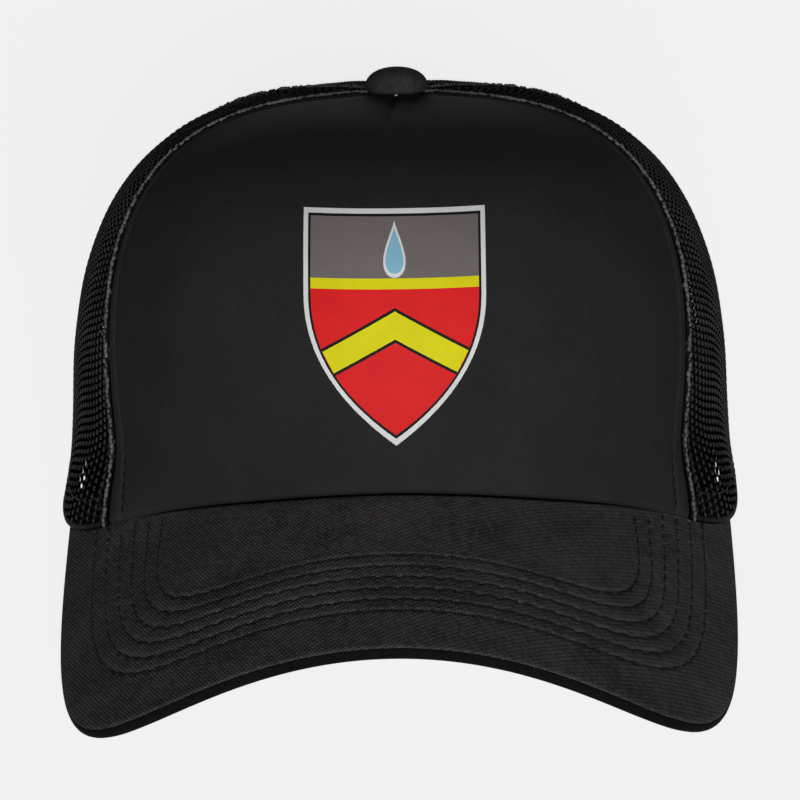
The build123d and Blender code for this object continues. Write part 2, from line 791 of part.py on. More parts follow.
pieces = {
    "front_panel": front_panel,
    "front_emblem": front_emblem,
    "front_foam_lining": front_foam_lining,
    "left_side_mesh": left_side_mesh,
    "right_side_mesh": right_side_mesh,
    "left_back_mesh": left_back_mesh,
    "right_back_mesh": right_back_mesh,
    "left_front_seam_tape": left_front_seam_tape,
    "right_front_seam_tape": right_front_seam_tape,
    "left_back_seam_tape": left_back_seam_tape,
    "right_back_seam_tape": right_back_seam_tape,
    "centre_back_seam_tape": centre_back_seam_tape,
    "left_hem_tape": left_hem_tape,
    "right_hem_tape": right_hem_tape,
    "back_opening_binding": back_opening_binding,
    "sweatband": sweatband,
    "visor_board": visor_board,
    "visor_top_cover": visor_top_cover,
    "visor_under_cover": visor_under_cover,
    "button_cover": button_cover,
    "button_shell": button_shell,
    "button_rivet": button_rivet,
    "button_washer": button_washer,
    "hole_strap": hole_strap,
    "hole_strap_tab": hole_strap_tab,
    "peg_strap": peg_strap,
    "peg_strap_tab": peg_strap_tab,
}

for name, piece in pieces.items():
    placed = rest * piece.part
    placed.label = name
    export_step(placed, f"parts/{name}.step")
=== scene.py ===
import json
from functools import cache, partial
from math import asin, atan2, ceil, cos, degrees, exp, floor, hypot, pi, radians, sin, sqrt, tan

import bmesh
import bpy
from mathutils import Matrix, Vector, noise


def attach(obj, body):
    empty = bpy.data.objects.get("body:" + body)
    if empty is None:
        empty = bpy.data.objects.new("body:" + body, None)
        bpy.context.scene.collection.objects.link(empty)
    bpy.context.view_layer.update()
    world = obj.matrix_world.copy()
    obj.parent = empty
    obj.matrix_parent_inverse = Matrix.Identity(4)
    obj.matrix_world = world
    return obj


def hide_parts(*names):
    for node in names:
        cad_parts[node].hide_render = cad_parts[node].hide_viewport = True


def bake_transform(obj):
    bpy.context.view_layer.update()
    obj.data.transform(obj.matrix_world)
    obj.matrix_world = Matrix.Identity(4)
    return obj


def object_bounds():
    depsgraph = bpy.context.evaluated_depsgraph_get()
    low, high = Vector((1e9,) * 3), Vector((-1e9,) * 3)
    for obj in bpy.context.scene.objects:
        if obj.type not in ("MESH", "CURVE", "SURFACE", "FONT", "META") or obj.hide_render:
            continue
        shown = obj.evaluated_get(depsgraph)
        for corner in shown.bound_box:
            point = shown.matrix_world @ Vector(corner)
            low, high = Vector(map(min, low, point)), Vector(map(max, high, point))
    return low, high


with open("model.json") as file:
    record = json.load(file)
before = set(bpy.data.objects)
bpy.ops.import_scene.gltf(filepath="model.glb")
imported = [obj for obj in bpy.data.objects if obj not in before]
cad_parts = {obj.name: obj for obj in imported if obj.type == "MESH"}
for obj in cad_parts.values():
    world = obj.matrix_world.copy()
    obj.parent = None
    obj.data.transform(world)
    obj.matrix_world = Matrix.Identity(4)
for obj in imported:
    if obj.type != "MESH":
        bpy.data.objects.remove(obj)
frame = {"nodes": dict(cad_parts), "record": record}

cad_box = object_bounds()

# The head's frame, as the solids use it: millimetres, origin in the centre of the head opening, +Z to the
# button, -Y over the visor, +X the wearer's left. Azimuth 0 is the front, 90 the wearer's left side and 180
# the back. Rise 0 is the hem of the crown and 90 its top. These sizes are the solids' own.
HALF_WIDTH, FRONT_LENGTH, BACK_LENGTH, OVAL_POWER = 86.0, 101.0, 103.0, 2.12
CROWN_HEIGHT, APEX_SETBACK = 100.6, 4.7
SIDE_POWER, FRONT_POWER, BACK_POWER = 3.2, 3.6, 3.3
FLARE, FLARE_HEIGHT, HEM_RUN_OUT = 1.8, 7.3, 16.0
PUSH, PUSH_AZIMUTH, PUSH_WIDTH, PUSH_HEIGHT, PUSH_POWER = 6.5, 53.7, 15.1, 16.0, 2.9
PANEL_REACH, FOAM_TOP_REACH, TAPE_TOP_REACH = 3.3, 18.2, 16.7
FRONT_SEAM_AZIMUTH, FRONT_SEAM_SWEEP, FRONT_SEAM_CURVE = 45.3, 21.5, 16.8
BACK_SEAM_AZIMUTH, BACK_SEAM_SWEEP = 114.0, 18.0
FRONT_CLOTH, MESH_CLOTH, FOAM, TAPE, PLY_GAP = 0.8, 1.0, 1.8, 0.6, 0.1
FOAM_MARGIN, TAPE_HALF_WIDTH, HEM_TAPE_HEIGHT = 7.5, 6.0, 9.0
BAND_HEIGHT, BAND_CLOTH, BAND_DEPTH_FRONT, BAND_DEPTH_BACK, BAND_END_GAP = 31.0, 1.4, 3.1, 5.5, 3.5
VISOR_ROLL_RADIUS, VISOR_ROLL_TAPER, VISOR_PITCH, VISOR_ROOT_HEIGHT = 112.0, -0.175, 16.3, 18.1
VISOR_HALF_SPAN, VISOR_REACH, VISOR_TIP_SETBACK = 92.4, 134.8, 31.4
VISOR_SIDE_POWER, VISOR_FRONT_POWER, VISOR_TIP_AZIMUTH, VISOR_TIP_BEARING = 4.26, 4.9, 60.0, 88.0
VISOR_THICKNESS = 3.5
ARCH_HALF_WIDTH, ARCH_HEIGHT, ARCH_POWER = 43.0, 52.0, 2.4
BINDING_WIDTH, BINDING_TAPE, BINDING_LIP = 7.0, 0.6, 0.8
STRAP_WIDTH, STRAP_THICKNESS, STRAP_BOTTOM, STRAP_DEPTH, STRAP_GAP = 18.0, 1.2, 3.0, 2.1, 0.25
STRAP_TIP, STRAP_TIP_RADIUS, STRAP_ROOT, TAB_LENGTH = 17.0, 7.0, 38.0, 18.0
SNAP_PITCH, SNAP_COUNT, SNAP_FIRST, SNAP_HOLE_RADIUS = 8.0, 6, 12.0, 2.8
PEG_RADIUS, PEG_HEIGHT = 2.0, 2.05
BUTTON_RADIUS, BUTTON_HEIGHT = 8.2, 6.4
EMBLEM_WIDTH, EMBLEM_HEIGHT, EMBLEM_MIDDLE, EMBLEM_SHOULDER, EMBLEM_FILM = 43.0, 54.0, 57.0, 19.0, 0.15

MM = 0.001
head_up = -Vector(frame["record"]["mounts"][0]["axis"])
head_to_row = Vector((0, 0, 1)).rotation_difference(head_up).to_matrix().to_4x4()
place_mm = head_to_row @ Matrix.Scale(MM, 4)
FLIP = Vector((-1, 1, 1))
SIDES = (("left", False), ("right", True))


def spread(first, last, count):
    """Evenly spaced values from first to last, both included."""
    return [first + (last - first) * i / (count - 1) for i in range(count)]


def ease(share):
    """A smooth step from 0 to 1."""
    share = min(max(share, 0), 1)
    return share * share * (3 - 2 * share)


def bump(distance, width):
    """A rounded ridge of height 1 at distance 0."""
    return exp(-((distance / width) ** 2))


def cosd(turn):
    return cos(radians(turn))


def sind(turn):
    return sin(radians(turn))


def drift(x, y, z):
    """A smooth unevenness between about -1 and 1."""
    return noise.noise(Vector((x, y, z)))


def last_before(low, high, is_before, rounds):
    """The value between two others at which a test turns from true to false."""
    for _ in range(rounds):
        middle = (low + high) / 2
        low, high = (middle, high) if is_before(middle) else (low, middle)
    return low


# The crown's and the visor's shapes


def from_front(azimuth):
    return abs((azimuth + 180) % 360 - 180)


def oval(azimuth, inset=0.0):
    """A point of the hem's outline seen from above, moved inward by an inset."""
    front, side = cosd(azimuth), sind(azimuth)
    length = FRONT_LENGTH if front > 0 else BACK_LENGTH
    reach = (abs(front) / length) ** OVAL_POWER + (abs(side) / HALF_WIDTH) ** OVAL_POWER
    radius = reach ** (-1 / OVAL_POWER)
    point = Vector((radius * side, -radius * front, 0))
    if inset == 0:
        return point
    along = oval(azimuth + 0.5) - oval(azimuth - 0.5)
    return point + Vector((-along.y, along.x, 0)).normalized() * inset


def roll_radius(along):
    """Radius of the visor's roll from side to side, this far in front of the head's middle."""
    return VISOR_ROLL_RADIUS + VISOR_ROLL_TAPER * (along - FRONT_LENGTH)


def visor_height(x, y):
    radius = roll_radius(-y)
    sag = radius - sqrt(radius * radius - x * x)
    return VISOR_ROOT_HEIGHT + tan(radians(VISOR_PITCH)) * (y + FRONT_LENGTH) - sag


def flare(height):
    return FLARE * exp(-((max(height, 0) / FLARE_HEIGHT) ** 1.5))


def hem_turn(azimuth, height):
    """How far the crown is turned and pushed outward at an azimuth and height."""
    push = PUSH * bump(from_front(azimuth) - PUSH_AZIMUTH, PUSH_WIDTH)
    return flare(height) + push * exp(-((max(height, 0) / PUSH_HEIGHT) ** PUSH_POWER))


def hem_inner_face(azimuth):
    line = oval(azimuth)
    return oval(azimuth, FRONT_CLOTH - hem_turn(azimuth, visor_height(line.x, line.y)))


@cache
def hem_from_front(turn):
    share = ease((VISOR_TIP_AZIMUTH + HEM_RUN_OUT - turn) / HEM_RUN_OUT)
    inner = hem_inner_face(turn)
    return share * visor_height(inner.x, inner.y) if share else 0.0


def hem(azimuth):
    """Height of the crown's lower edge: it stands on the visor, and is level behind it."""
    return hem_from_front(round(from_front(azimuth), 3))


def shoulder_power(azimuth):
    front = cosd(azimuth)
    middle = FRONT_POWER if front > 0 else BACK_POWER
    return SIDE_POWER + (middle - SIDE_POWER) * front * front


def ring_rise(reach):
    """The rise at which the crown's sides pass this far from the button's axis."""
    share = reach / HALF_WIDTH
    return degrees(atan2((share**-SIDE_POWER - 1) ** (1 / SIDE_POWER), 1))


def rise_at(azimuth, height):
    power = shoulder_power(azimuth)
    share = (height - hem(azimuth)) / (CROWN_HEIGHT - hem(azimuth))
    share = min(max(share, 0), 1)
    return degrees(atan2(share, (1 - share**power) ** (1 / power)))


def crown_point(azimuth, rise, depth=0.0):
    """A point of the crown, at this depth under its outer face."""
    power = shoulder_power(azimuth)
    level, up = cosd(rise), sind(rise)
    radius = (max(level, 0) ** power + max(up, 0) ** power) ** (-1 / power)
    height = hem(azimuth) + (CROWN_HEIGHT - hem(azimuth)) * radius * up
    share = radius * level
    edge = oval(azimuth) * (share + hem_turn(azimuth, height) / HALF_WIDTH)
    point = Vector((edge.x, edge.y + APEX_SETBACK * (1 - share), height))
    return point - crown_normal(azimuth, rise) * depth if depth else point


def crown_normal(azimuth, rise):
    """The crown's outward direction."""
    across = crown_point(azimuth + 0.5, rise) - crown_point(azimuth - 0.5, rise)
    upward = crown_point(azimuth, min(rise + 0.5, 90)) - crown_point(azimuth, max(rise - 0.5, 0))
    return across.cross(upward).normalized()


def crown_place(azimuth, rise, depth):
    """A point of the crown at a depth, and the outward direction there."""
    return crown_point(azimuth, rise, depth), crown_normal(azimuth, rise)


def above_hem(azimuth, height, depth):
    """A point of the crown at a height above its lower edge."""
    return crown_point(azimuth, rise_at(azimuth, hem(azimuth) + height), depth)


def front_seam(rise):
    share = rise / 90
    return FRONT_SEAM_AZIMUTH + FRONT_SEAM_SWEEP * share + FRONT_SEAM_CURVE * share**2


def back_seam(rise):
    return BACK_SEAM_AZIMUTH + BACK_SEAM_SWEEP * rise / 90


def centre_seam(rise):
    return 180.0


SEAMS = (("front", front_seam), ("back", back_seam))


def turn_for(width, azimuth, rise):
    """Degrees of azimuth that a width across the crown takes up at this place."""
    point = crown_point(azimuth, rise)
    return degrees(width / max(hypot(point.x, point.y - APEX_SETBACK), 1.0))


def beside(seam, width, rise):
    """Azimuth of the line that runs a width across the crown from a seam."""
    return seam(rise) + turn_for(width, seam(rise), rise)


def side_azimuth(x):
    """Azimuth at which the back half of the hem's oval is this far to the wearer's left."""
    return last_before(90.0, 180.0, lambda azimuth: oval(azimuth).x > x, 40)


def face_point(x, height, depth, back=False):
    """The point of the crown's front or back at this x and height, at a depth under its outer face."""

    def nearer(azimuth):
        return crown_point(azimuth, rise_at(azimuth, height)).x < abs(x)

    azimuth = last_before(180.0 if back else 0.0, 90.0, nearer, 22)
    point = crown_point(azimuth, rise_at(azimuth, height), depth)
    return point if x > 0 else point * FLIP


def visor_point(across, along, depth):
    """A point of the visor at this depth: across and along are its place on the flat pattern."""
    radius = roll_radius(along)
    x = radius * sin(across / radius)
    return Vector((x, -along, visor_height(x, -along))) - visor_normal(across, along) * depth


def visor_normal(across, along):
    turn = across / roll_radius(along)
    return Vector((sin(turn), -tan(radians(VISOR_PITCH)), cos(turn))).normalized()


def visor_edge(bearing, margin):
    """The visor's outer edge on its flat pattern, moved inward by a margin, as (across, along)."""
    front, side = abs(cosd(bearing)), abs(sind(bearing))
    power = VISOR_SIDE_POWER * side**2 + VISOR_FRONT_POWER * front**2
    reach, span = VISOR_REACH - margin, VISOR_HALF_SPAN - margin
    radius = ((front / reach) ** power + (side / span) ** power) ** (-1 / power)
    return radius * sind(bearing), VISOR_TIP_SETBACK + radius * cosd(bearing)


def pattern_reach(spot):
    """Distance of a spot of the flat pattern from the point that bearings are measured at."""
    return hypot(spot[0], spot[1] - VISOR_TIP_SETBACK)


def visor_root(bearing):
    """The visor's inner edge on its flat pattern, under the crown's cloth, as (across, along)."""
    point = hem_inner_face(bearing / VISOR_TIP_BEARING * VISOR_TIP_AZIMUTH)
    radius = roll_radius(-point.y)
    across, forward = radius * asin(point.x / radius), -point.y - VISOR_TIP_SETBACK
    edge = visor_edge(degrees(atan2(across, forward)), VISOR_THICKNESS)
    share = min(1.0, pattern_reach(edge) / hypot(across, forward))
    return across * share, VISOR_TIP_SETBACK + forward * share


# Making pieces


def grid(columns, rows, place):
    """A sheet with a corner for each column and row value, moved to place(column, row)."""
    bm = bmesh.new()
    across, up = len(columns) - 1, len(rows) - 1
    bmesh.ops.create_grid(bm, x_segments=across, y_segments=up, size=0.5)
    corners = {}
    for vert in bm.verts:
        corners[round((vert.co.x + 0.5) * across), round((vert.co.y + 0.5) * up)] = vert
    for (i, j), vert in corners.items():
        vert.co = place(columns[i], rows[j])
    return bm, corners


def flat_spots(corners):
    """Where a sheet's corners lie when it is rolled out flat from its middle column, in millimetres."""
    across, up = max(i for i, j in corners), max(j for i, j in corners)
    flat = {}
    middle, height = across // 2, 0.0
    for j in range(up + 1):
        if j:
            height += (corners[middle, j].co - corners[middle, j - 1].co).length
        flat[middle, j] = (0.0, height)
        for step, last in ((1, across), (-1, 0)):
            for i in range(middle + step, last + step, step):
                width = (corners[i, j].co - corners[i - step, j].co).length
                flat[i, j] = (flat[i - step, j][0] + step * width, height)
    return flat


def lay_cloth(bm, spot):
    """The UV map "cloth", in millimetres, from the flat spot of each corner."""
    uv = bm.loops.layers.uv.new("cloth")
    for face in bm.faces:
        for loop in face.loops:
            loop[uv].uv = spot(loop.vert)


def turn_over(bm):
    bmesh.ops.reverse_faces(bm, faces=bm.faces)


def flip(bm):
    """Turn a piece of the wearer's left side into the right side's."""
    bmesh.ops.scale(bm, vec=FLIP, verts=bm.verts)
    turn_over(bm)


def sheet(columns, rows, place, inner=False, flipped=False, flat=None):
    """A grid laid out as cloth; an inner one has its face to the head."""
    bm, corners = grid(columns, rows, place)
    spots = {vert: spot for spot, vert in corners.items()}
    flat = flat or flat_spots(corners)
    lay_cloth(bm, lambda vert: flat[spots[vert]])
    if inner:
        turn_over(bm)
    if flipped:
        flip(bm)
    return bm


def to_mesh(name, bm):
    mesh = bpy.data.meshes.new(name)
    bm.to_mesh(mesh)
    bm.free()
    return mesh


def add_object(name, data):
    made = bpy.data.objects.new(name, data)
    bpy.context.scene.collection.objects.link(made)
    return made


def piece(name, bm, material, body="cap", thickness=0.0, replaced=(), wire=0.0, sharp=50):
    """A finished piece from a bmesh in the head's frame, in millimetres."""
    bm.transform(place_mm)
    mesh = to_mesh(name, bm)
    mesh.shade_smooth()
    mesh.set_sharp_from_angle(angle=radians(sharp))
    mesh.materials.append(material)
    made = add_object(name, mesh)
    if thickness:
        wall = made.modifiers.new("wall", "SOLIDIFY")
        wall.thickness, wall.offset = thickness * MM, -1.0
    if wire:
        strands = made.modifiers.new("strands", "WIREFRAME")
        strands.thickness, strands.offset = wire * MM, 0.0
        strands.use_boundary, strands.use_replace, strands.use_even_offset = True, True, False
    if body:
        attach(made, body)
    if replaced:
        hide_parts(*replaced)
    return made


def make_bead():
    """A small rounded bead of radius 1, from which stitches and loops are made."""
    bm = bmesh.new()
    bmesh.ops.create_uvsphere(bm, u_segments=6, v_segments=4, radius=1)
    return to_mesh("bead", bm)


bead = make_bead()


def add_bead(bm, spot, along, out, shape):
    """A bead stretched along a direction; shape is its half width, half depth and half length."""
    along = along.normalized()
    side = out.cross(along).normalized()
    turn = Matrix((side, along.cross(side), along)).transposed().to_4x4()
    place = Matrix.Translation(spot) @ turn @ Matrix.Diagonal((*shape, 1))
    bead.transform(place)
    bm.from_mesh(bead)
    bead.transform(place.inverted())


STITCH_PITCH, STITCH_LENGTH, THREAD_RADIUS = 2.9, 2.1, 0.22


def stitches(name, lines, material, pitch=STITCH_PITCH, length=STITCH_LENGTH, radius=THREAD_RADIUS):
    """Thread stitches along lines of (point, outward direction) pairs."""
    bm = bmesh.new()
    for line in lines:
        walked, due = 0.0, pitch / 2
        for (start, out), (end, _) in zip(line, line[1:]):
            run = (end - start).length
            while run and walked + run >= due:
                spot = start.lerp(end, (due - walked) / run)
                add_bead(bm, spot, end - start, out, (radius, radius * 0.8, length / 2))
                due += pitch
            walked += run
    piece(name, bm, material)


def turned(profile, middle, steps):
    """A round shape about an upright axis at this y, from a profile of (radius, height) spots."""
    bm = bmesh.new()
    verts = [bm.verts.new((radius, middle, height)) for radius, height in profile]
    edges = [bm.edges.new(pair) for pair in zip(verts, verts[1:])]
    bmesh.ops.spin(
        bm, geom=verts + edges, cent=(0, middle, 0), axis=(0, 0, 1), angle=2 * pi, steps=steps, use_merge=True
    )
    bmesh.ops.remove_doubles(bm, verts=bm.verts, dist=0.001)
    return bm


# Materials


def node(tree, kind, settings=None, **sockets):
    """A shader node with its settings and its input values or links.

    A socket is named with _ for a space, or by i and its number.
    """
    made = tree.nodes.new("ShaderNode" + kind)
    for key, value in (settings or {}).items():
        setattr(made, key, value)
    for key, value in sockets.items():
        place = int(key[1:]) if key[0] == "i" and key[1:].isdigit() else key.replace("_", " ")
        if isinstance(value, bpy.types.NodeSocket):
            tree.links.new(value, made.inputs[place])
        else:
            made.inputs[place].default_value = value
    return made


def math(tree, operation, first, second=0.0, third=0.0):
    return node(tree, "Math", {"operation": operation}, i0=first, i1=second, i2=third).outputs[0]


def new_group(name, inputs, draw):
    """A node group with numbers and, where the default is None, vectors as inputs; draw gives its outputs."""
    tree = bpy.data.node_groups.new(name, "ShaderNodeTree")
    for key, value in inputs.items():
        kind = "NodeSocketVector" if value is None else "NodeSocketFloat"
        socket = tree.interface.new_socket(key, in_out="INPUT", socket_type=kind)
        if value is not None:
            socket.default_value = value
    drawn = draw(tree, tree.nodes.new("NodeGroupInput").outputs, partial(math, tree))
    for key in drawn:
        tree.interface.new_socket(key, in_out="OUTPUT", socket_type="NodeSocketFloat")
    wanted = tree.nodes.new("NodeGroupOutput").inputs
    for key, value in drawn.items():
        tree.links.new(value, wanted[key])
    return tree


def use(tree, group, **sockets):
    """Place a node group in a material and return its outputs."""
    return node(tree, "Group", {"node_tree": group}, **sockets).outputs


def draw_twill(tree, given, calc):
    """Diagonal ribs of a twill weave: height, and a shade that changes from thread to thread."""
    parts = node(tree, "SeparateXYZ", Vector=given["Cloth"]).outputs
    u = calc("DIVIDE", parts[0], given["Pitch"])
    v = calc("DIVIDE", parts[1], given["Pitch"])
    rib = calc("MULTIPLY_ADD", v, given["Slope"], u)
    rib_number = calc("FLOOR", rib)
    step = calc("MULTIPLY_ADD", rib_number, 0.37, calc("MULTIPLY", v, 0.7))
    across = calc("SINE", calc("MULTIPLY", calc("FRACT", rib), pi))
    along = calc("SINE", calc("MULTIPLY", calc("FRACT", step), pi))
    spot = node(tree, "CombineXYZ", X=rib_number, Y=calc("FLOOR", step)).outputs[0]
    random = node(tree, "TexWhiteNoise", {"noise_dimensions": "2D"}, Vector=spot).outputs["Value"]
    return {"Height": calc("MULTIPLY", across, calc("POWER", along, 0.5)), "Shade": random}


def draw_plain_weave(tree, given, calc):
    """A fine plain weave: height, and a shade that changes from thread to thread."""
    scaled = node(tree, "VectorMath", {"operation": "DIVIDE"}, i0=given["Cloth"], i1=given["Pitch"])
    parts = node(tree, "SeparateXYZ", Vector=scaled.outputs[0]).outputs
    warp = calc("SINE", calc("MULTIPLY", parts[0], pi))
    weft = calc("SINE", calc("MULTIPLY", parts[1], pi))
    slub = node(tree, "TexNoise", {"noise_dimensions": "2D"}, Vector=given["Cloth"], Scale=0.5, Detail=4.0)
    height = calc("MULTIPLY_ADD", calc("MULTIPLY", warp, weft), 0.5, 0.5)
    return {"Height": height, "Shade": slub.outputs["Fac"]}


def draw_lint(tree, given, calc):
    """Sparse specks and short fibres of pale lint, as a mask."""
    bent = node(tree, "TexNoise", Vector=given["Place"], Scale=900.0, Detail=1.0).outputs["Color"]
    terms = {"i0": bent, "i1": (0.0015,) * 3, "i2": given["Place"]}
    shifted = node(tree, "VectorMath", {"operation": "MULTIPLY_ADD"}, **terms).outputs[0]
    cells = node(tree, "TexVoronoi", Vector=shifted, Scale=200.0).outputs
    speck = calc("LESS_THAN", cells["Distance"], given["Size"])
    parts = node(tree, "SeparateColor", Color=cells["Color"]).outputs
    chosen = calc("GREATER_THAN", parts[0], 0.45)
    return {"Mask": calc("MULTIPLY", speck, calc("MULTIPLY", chosen, parts[1]))}


def draw_mottle(tree, given, calc):
    """Soft blotches of dust and wear, from 0 to 1."""
    cloud = node(tree, "TexNoise", Vector=given["Place"], Scale=given["Scale"], Detail=6.0, Roughness=0.62)
    ramp = node(tree, "MapRange", Value=cloud.outputs["Fac"], From_Min=0.32, From_Max=0.7)
    return {"Value": ramp.outputs[0]}


def draw_grain(tree, given, calc):
    """The fine dimples of moulded plastic and pressed metal, as a height."""
    fine = node(tree, "TexNoise", Vector=given["Place"], Scale=2500.0, Detail=3.0)
    return {"Height": fine.outputs["Fac"]}


twill = new_group("Twill", {"Cloth": None, "Pitch": 0.6, "Slope": 1.1}, draw_twill)
plain_weave = new_group("Plain weave", {"Cloth": None, "Pitch": 0.35}, draw_plain_weave)
lint = new_group("Lint", {"Place": None, "Size": 0.05}, draw_lint)
mottle = new_group("Mottle", {"Place": None, "Scale": 60.0}, draw_mottle)
grain = new_group("Grain", {"Place": None}, draw_grain)


def grey(level, blue=None):
    """A grey, or a slightly bluish one with its own blue value."""
    return (level, level, level if blue is None else blue, 1.0)


def new_material(name, roughness, **constants):
    """A material, its nodes, its principled shader and its Object coordinates."""
    made = bpy.data.materials.new(name)
    made.use_nodes = True
    shader = made.node_tree.nodes["Principled BSDF"]
    for key, value in {"Roughness": roughness, **constants}.items():
        shader.inputs[key.replace("_", " ")].default_value = value
    return made, made.node_tree, shader, node(made.node_tree, "TexCoord").outputs["Object"]


def between(tree, share, low, high):
    """A colour that runs from low to high as share runs from 0 to 1."""
    return node(tree, "Mix", {"data_type": "RGBA"}, Factor=share, i6=low, i7=high).outputs[2]


def vary_roughness(tree, shader, share, low, high):
    spanned = node(tree, "MapRange", Value=share, To_Min=low, To_Max=high).outputs[0]
    tree.links.new(spanned, shader.inputs["Roughness"])


def cover(tree, shader, shade, dark, light, height, relief):
    """Colour a surface from dark to light by its shade, and raise it by a height, relief in millimetres."""
    tree.links.new(between(tree, shade, dark, light), shader.inputs["Base Color"])
    raised = node(tree, "Bump", Height=height, Strength=1.0, Distance=relief * MM)
    tree.links.new(raised.outputs[0], shader.inputs["Normal"])


def cloth(name, dark, light, weave, relief, roughness=0.9, lint_size=0.05, lint_shade=0.06, **ribs):
    """A woven cloth: thread-by-thread shades, painted shade in the weave's hollows, soft blotches, lint and
    the weave's relief.
    """
    made, tree, shader, place = new_material(
        name, roughness, Sheen_Weight=0.01, Sheen_Roughness=0.4, Specular_IOR_Level=0.05
    )
    threads = use(tree, weave, Cloth=node(tree, "UVMap", {"uv_map": "cloth"}).outputs[0], **ribs)
    height = threads["Height"]
    # The weave's height is added to the colour: thread tops painted lighter and the hollows between them
    # darker, a painted shade, on top of the threads' own random shades.
    shade = math(tree, "MULTIPLY_ADD", threads["Shade"], 0.3, math(tree, "MULTIPLY", height, 0.5))
    shade = math(tree, "MULTIPLY_ADD", use(tree, mottle, Place=place)["Value"], 0.25, shade)
    woven = between(tree, shade, dark, light)
    specks = use(tree, lint, Place=place, Size=lint_size)["Mask"]
    cover(tree, shader, specks, woven, grey(lint_shade, lint_shade * 1.03), height, relief)
    return made


def thread_material(name, dark, light):
    made, tree, shader, place = new_material(name, 0.5, Specular_IOR_Level=0.15)
    # One noise sets both the colour and the bump: the ply's uneven tone, with painted shade in its low
    # grooves.
    ply = node(tree, "TexNoise", Vector=place, Scale=1600.0, Detail=2.0).outputs["Fac"]
    cover(tree, shader, ply, dark, light, ply, 0.05)
    return made


def net_material(name, dark, light, shine):
    """Knitted nylon yarn: fine fibres whose colour follows their bump, painted lighter on top and darker in
    their hollows as highlight and shade, with soft blotches of dust.
    """
    made, tree, shader, place = new_material(name, 0.42, Specular_IOR_Level=shine)
    fibres = node(tree, "TexNoise", Vector=place, Scale=1300.0, Detail=3.0).outputs["Fac"]
    clouds = use(tree, mottle, Place=place, Scale=90.0)["Value"]
    shade = math(tree, "MULTIPLY_ADD", clouds, 0.4, math(tree, "MULTIPLY", fibres, 0.6))
    vary_roughness(tree, shader, fibres, 0.34, 0.62)
    cover(tree, shader, shade, dark, light, fibres, 0.12)
    return made


def foam_material():
    made, tree, shader, place = new_material("black foam", 0.95, Sheen_Weight=0.2)
    # Each cell's pit is both lower and darker: painted shade in the foam's pores.
    cells = node(tree, "TexVoronoi", Vector=place, Scale=1400.0).outputs["Distance"]
    cover(tree, shader, cells, grey(0.012, 0.013), grey(0.05, 0.052), cells, 0.25)
    return made


def plastic_material(name, dark, light, roughness):
    made, tree, shader, place = new_material(name, roughness)
    clouds = use(tree, mottle, Place=place, Scale=140.0)["Value"]
    vary_roughness(tree, shader, clouds, roughness - 0.08, roughness + 0.1)
    cover(tree, shader, clouds, dark, light, use(tree, grain, Place=place)["Height"], 0.02)
    return made


def metal_material():
    made, tree, shader, place = new_material("pressed aluminium", 0.35, Metallic=1.0)
    clouds = use(tree, mottle, Place=place, Scale=300.0)["Value"]
    dimples = use(tree, grain, Place=place)["Height"]
    cover(tree, shader, clouds, grey(0.55, 0.56), grey(0.72, 0.73), dimples, 0.01)
    return made


def film_material(name, colour):
    """Heat-pressed film: one flat ink that lets the cloth's weave through."""
    made, tree, shader, place = new_material(name, 0.6, Specular_IOR_Level=0.1)
    uv = node(tree, "UVMap", {"uv_map": "cloth"}).outputs[0]
    weave = use(tree, plain_weave, Cloth=uv, Pitch=0.4)["Height"]
    clouds = use(tree, mottle, Place=place, Scale=110.0)["Value"]
    worn = (*(channel * 0.9 for channel in colour), 1.0)
    cover(tree, shader, clouds, worn, (*colour, 1.0), weave, 0.03)
    return made


front_cloth = cloth(
    "charcoal panel cloth", grey(0.0165, 0.0166), grey(0.037, 0.0375), plain_weave, 0.03,
    lint_size=0.03, lint_shade=0.035, Pitch=0.42,
)
# The visor's twill is lighter than the panel cloth: partly its own greyer cotton, and partly painted light
# that stands in for the light its top catches.
visor_cloth = cloth(
    "visor twill", grey(0.009), grey(0.165, 0.1665), twill, 0.12,
    lint_size=0.07, lint_shade=0.15, Pitch=0.8, Slope=-0.5,
)
# The cloth under the visor is the same black twill painted darker: painted shade, which also darkens the
# rim's lower part where it wraps up.
under_cloth_painted_shade = cloth("under visor twill in painted shade", grey(0.003), grey(0.012, 0.0122), twill, 0.10, Pitch=0.8, Slope=-0.5)
button_twill = cloth("button twill", grey(0.006), grey(0.085, 0.086), twill, 0.1, Pitch=0.55, Slope=0.35)
# Near-black tape colour: painted shade for the dark line between crown and visor.
seam_cloth_painted_shade = cloth("seam tape in painted shade", grey(0.0004), grey(0.002), twill, 0.1, Pitch=0.8)
band_cloth = cloth("sweatband twill", grey(0.010, 0.011), grey(0.038, 0.040), twill, 0.10, Pitch=0.8)
tape_cloth = cloth("woven tape", grey(0.008, 0.009), grey(0.034, 0.036), twill, 0.12, Pitch=1.1)
thread = thread_material("black thread", grey(0.005), grey(0.045, 0.046))
# The sunk stitches use the same black thread painted darker: painted shade of their grooves.
sunk_thread_painted_shade = thread_material("sunk black thread in painted shade", grey(0.002), grey(0.006))
# The net is one black nylon yarn: its strands are painted darker, as shade, and its loops painted lighter, as
# glints.
net_strand_painted_shade = net_material("black net yarn in painted shade", grey(0.0002), grey(0.0022), 0.02)
net_loop_painted_glint = net_material("black net loops with painted glints", grey(0.003), grey(0.08, 0.082), 0.05)
selvage = cloth("net selvage", grey(0.003), grey(0.02, 0.0204), twill, 0.2, roughness=0.6, Pitch=1.0)
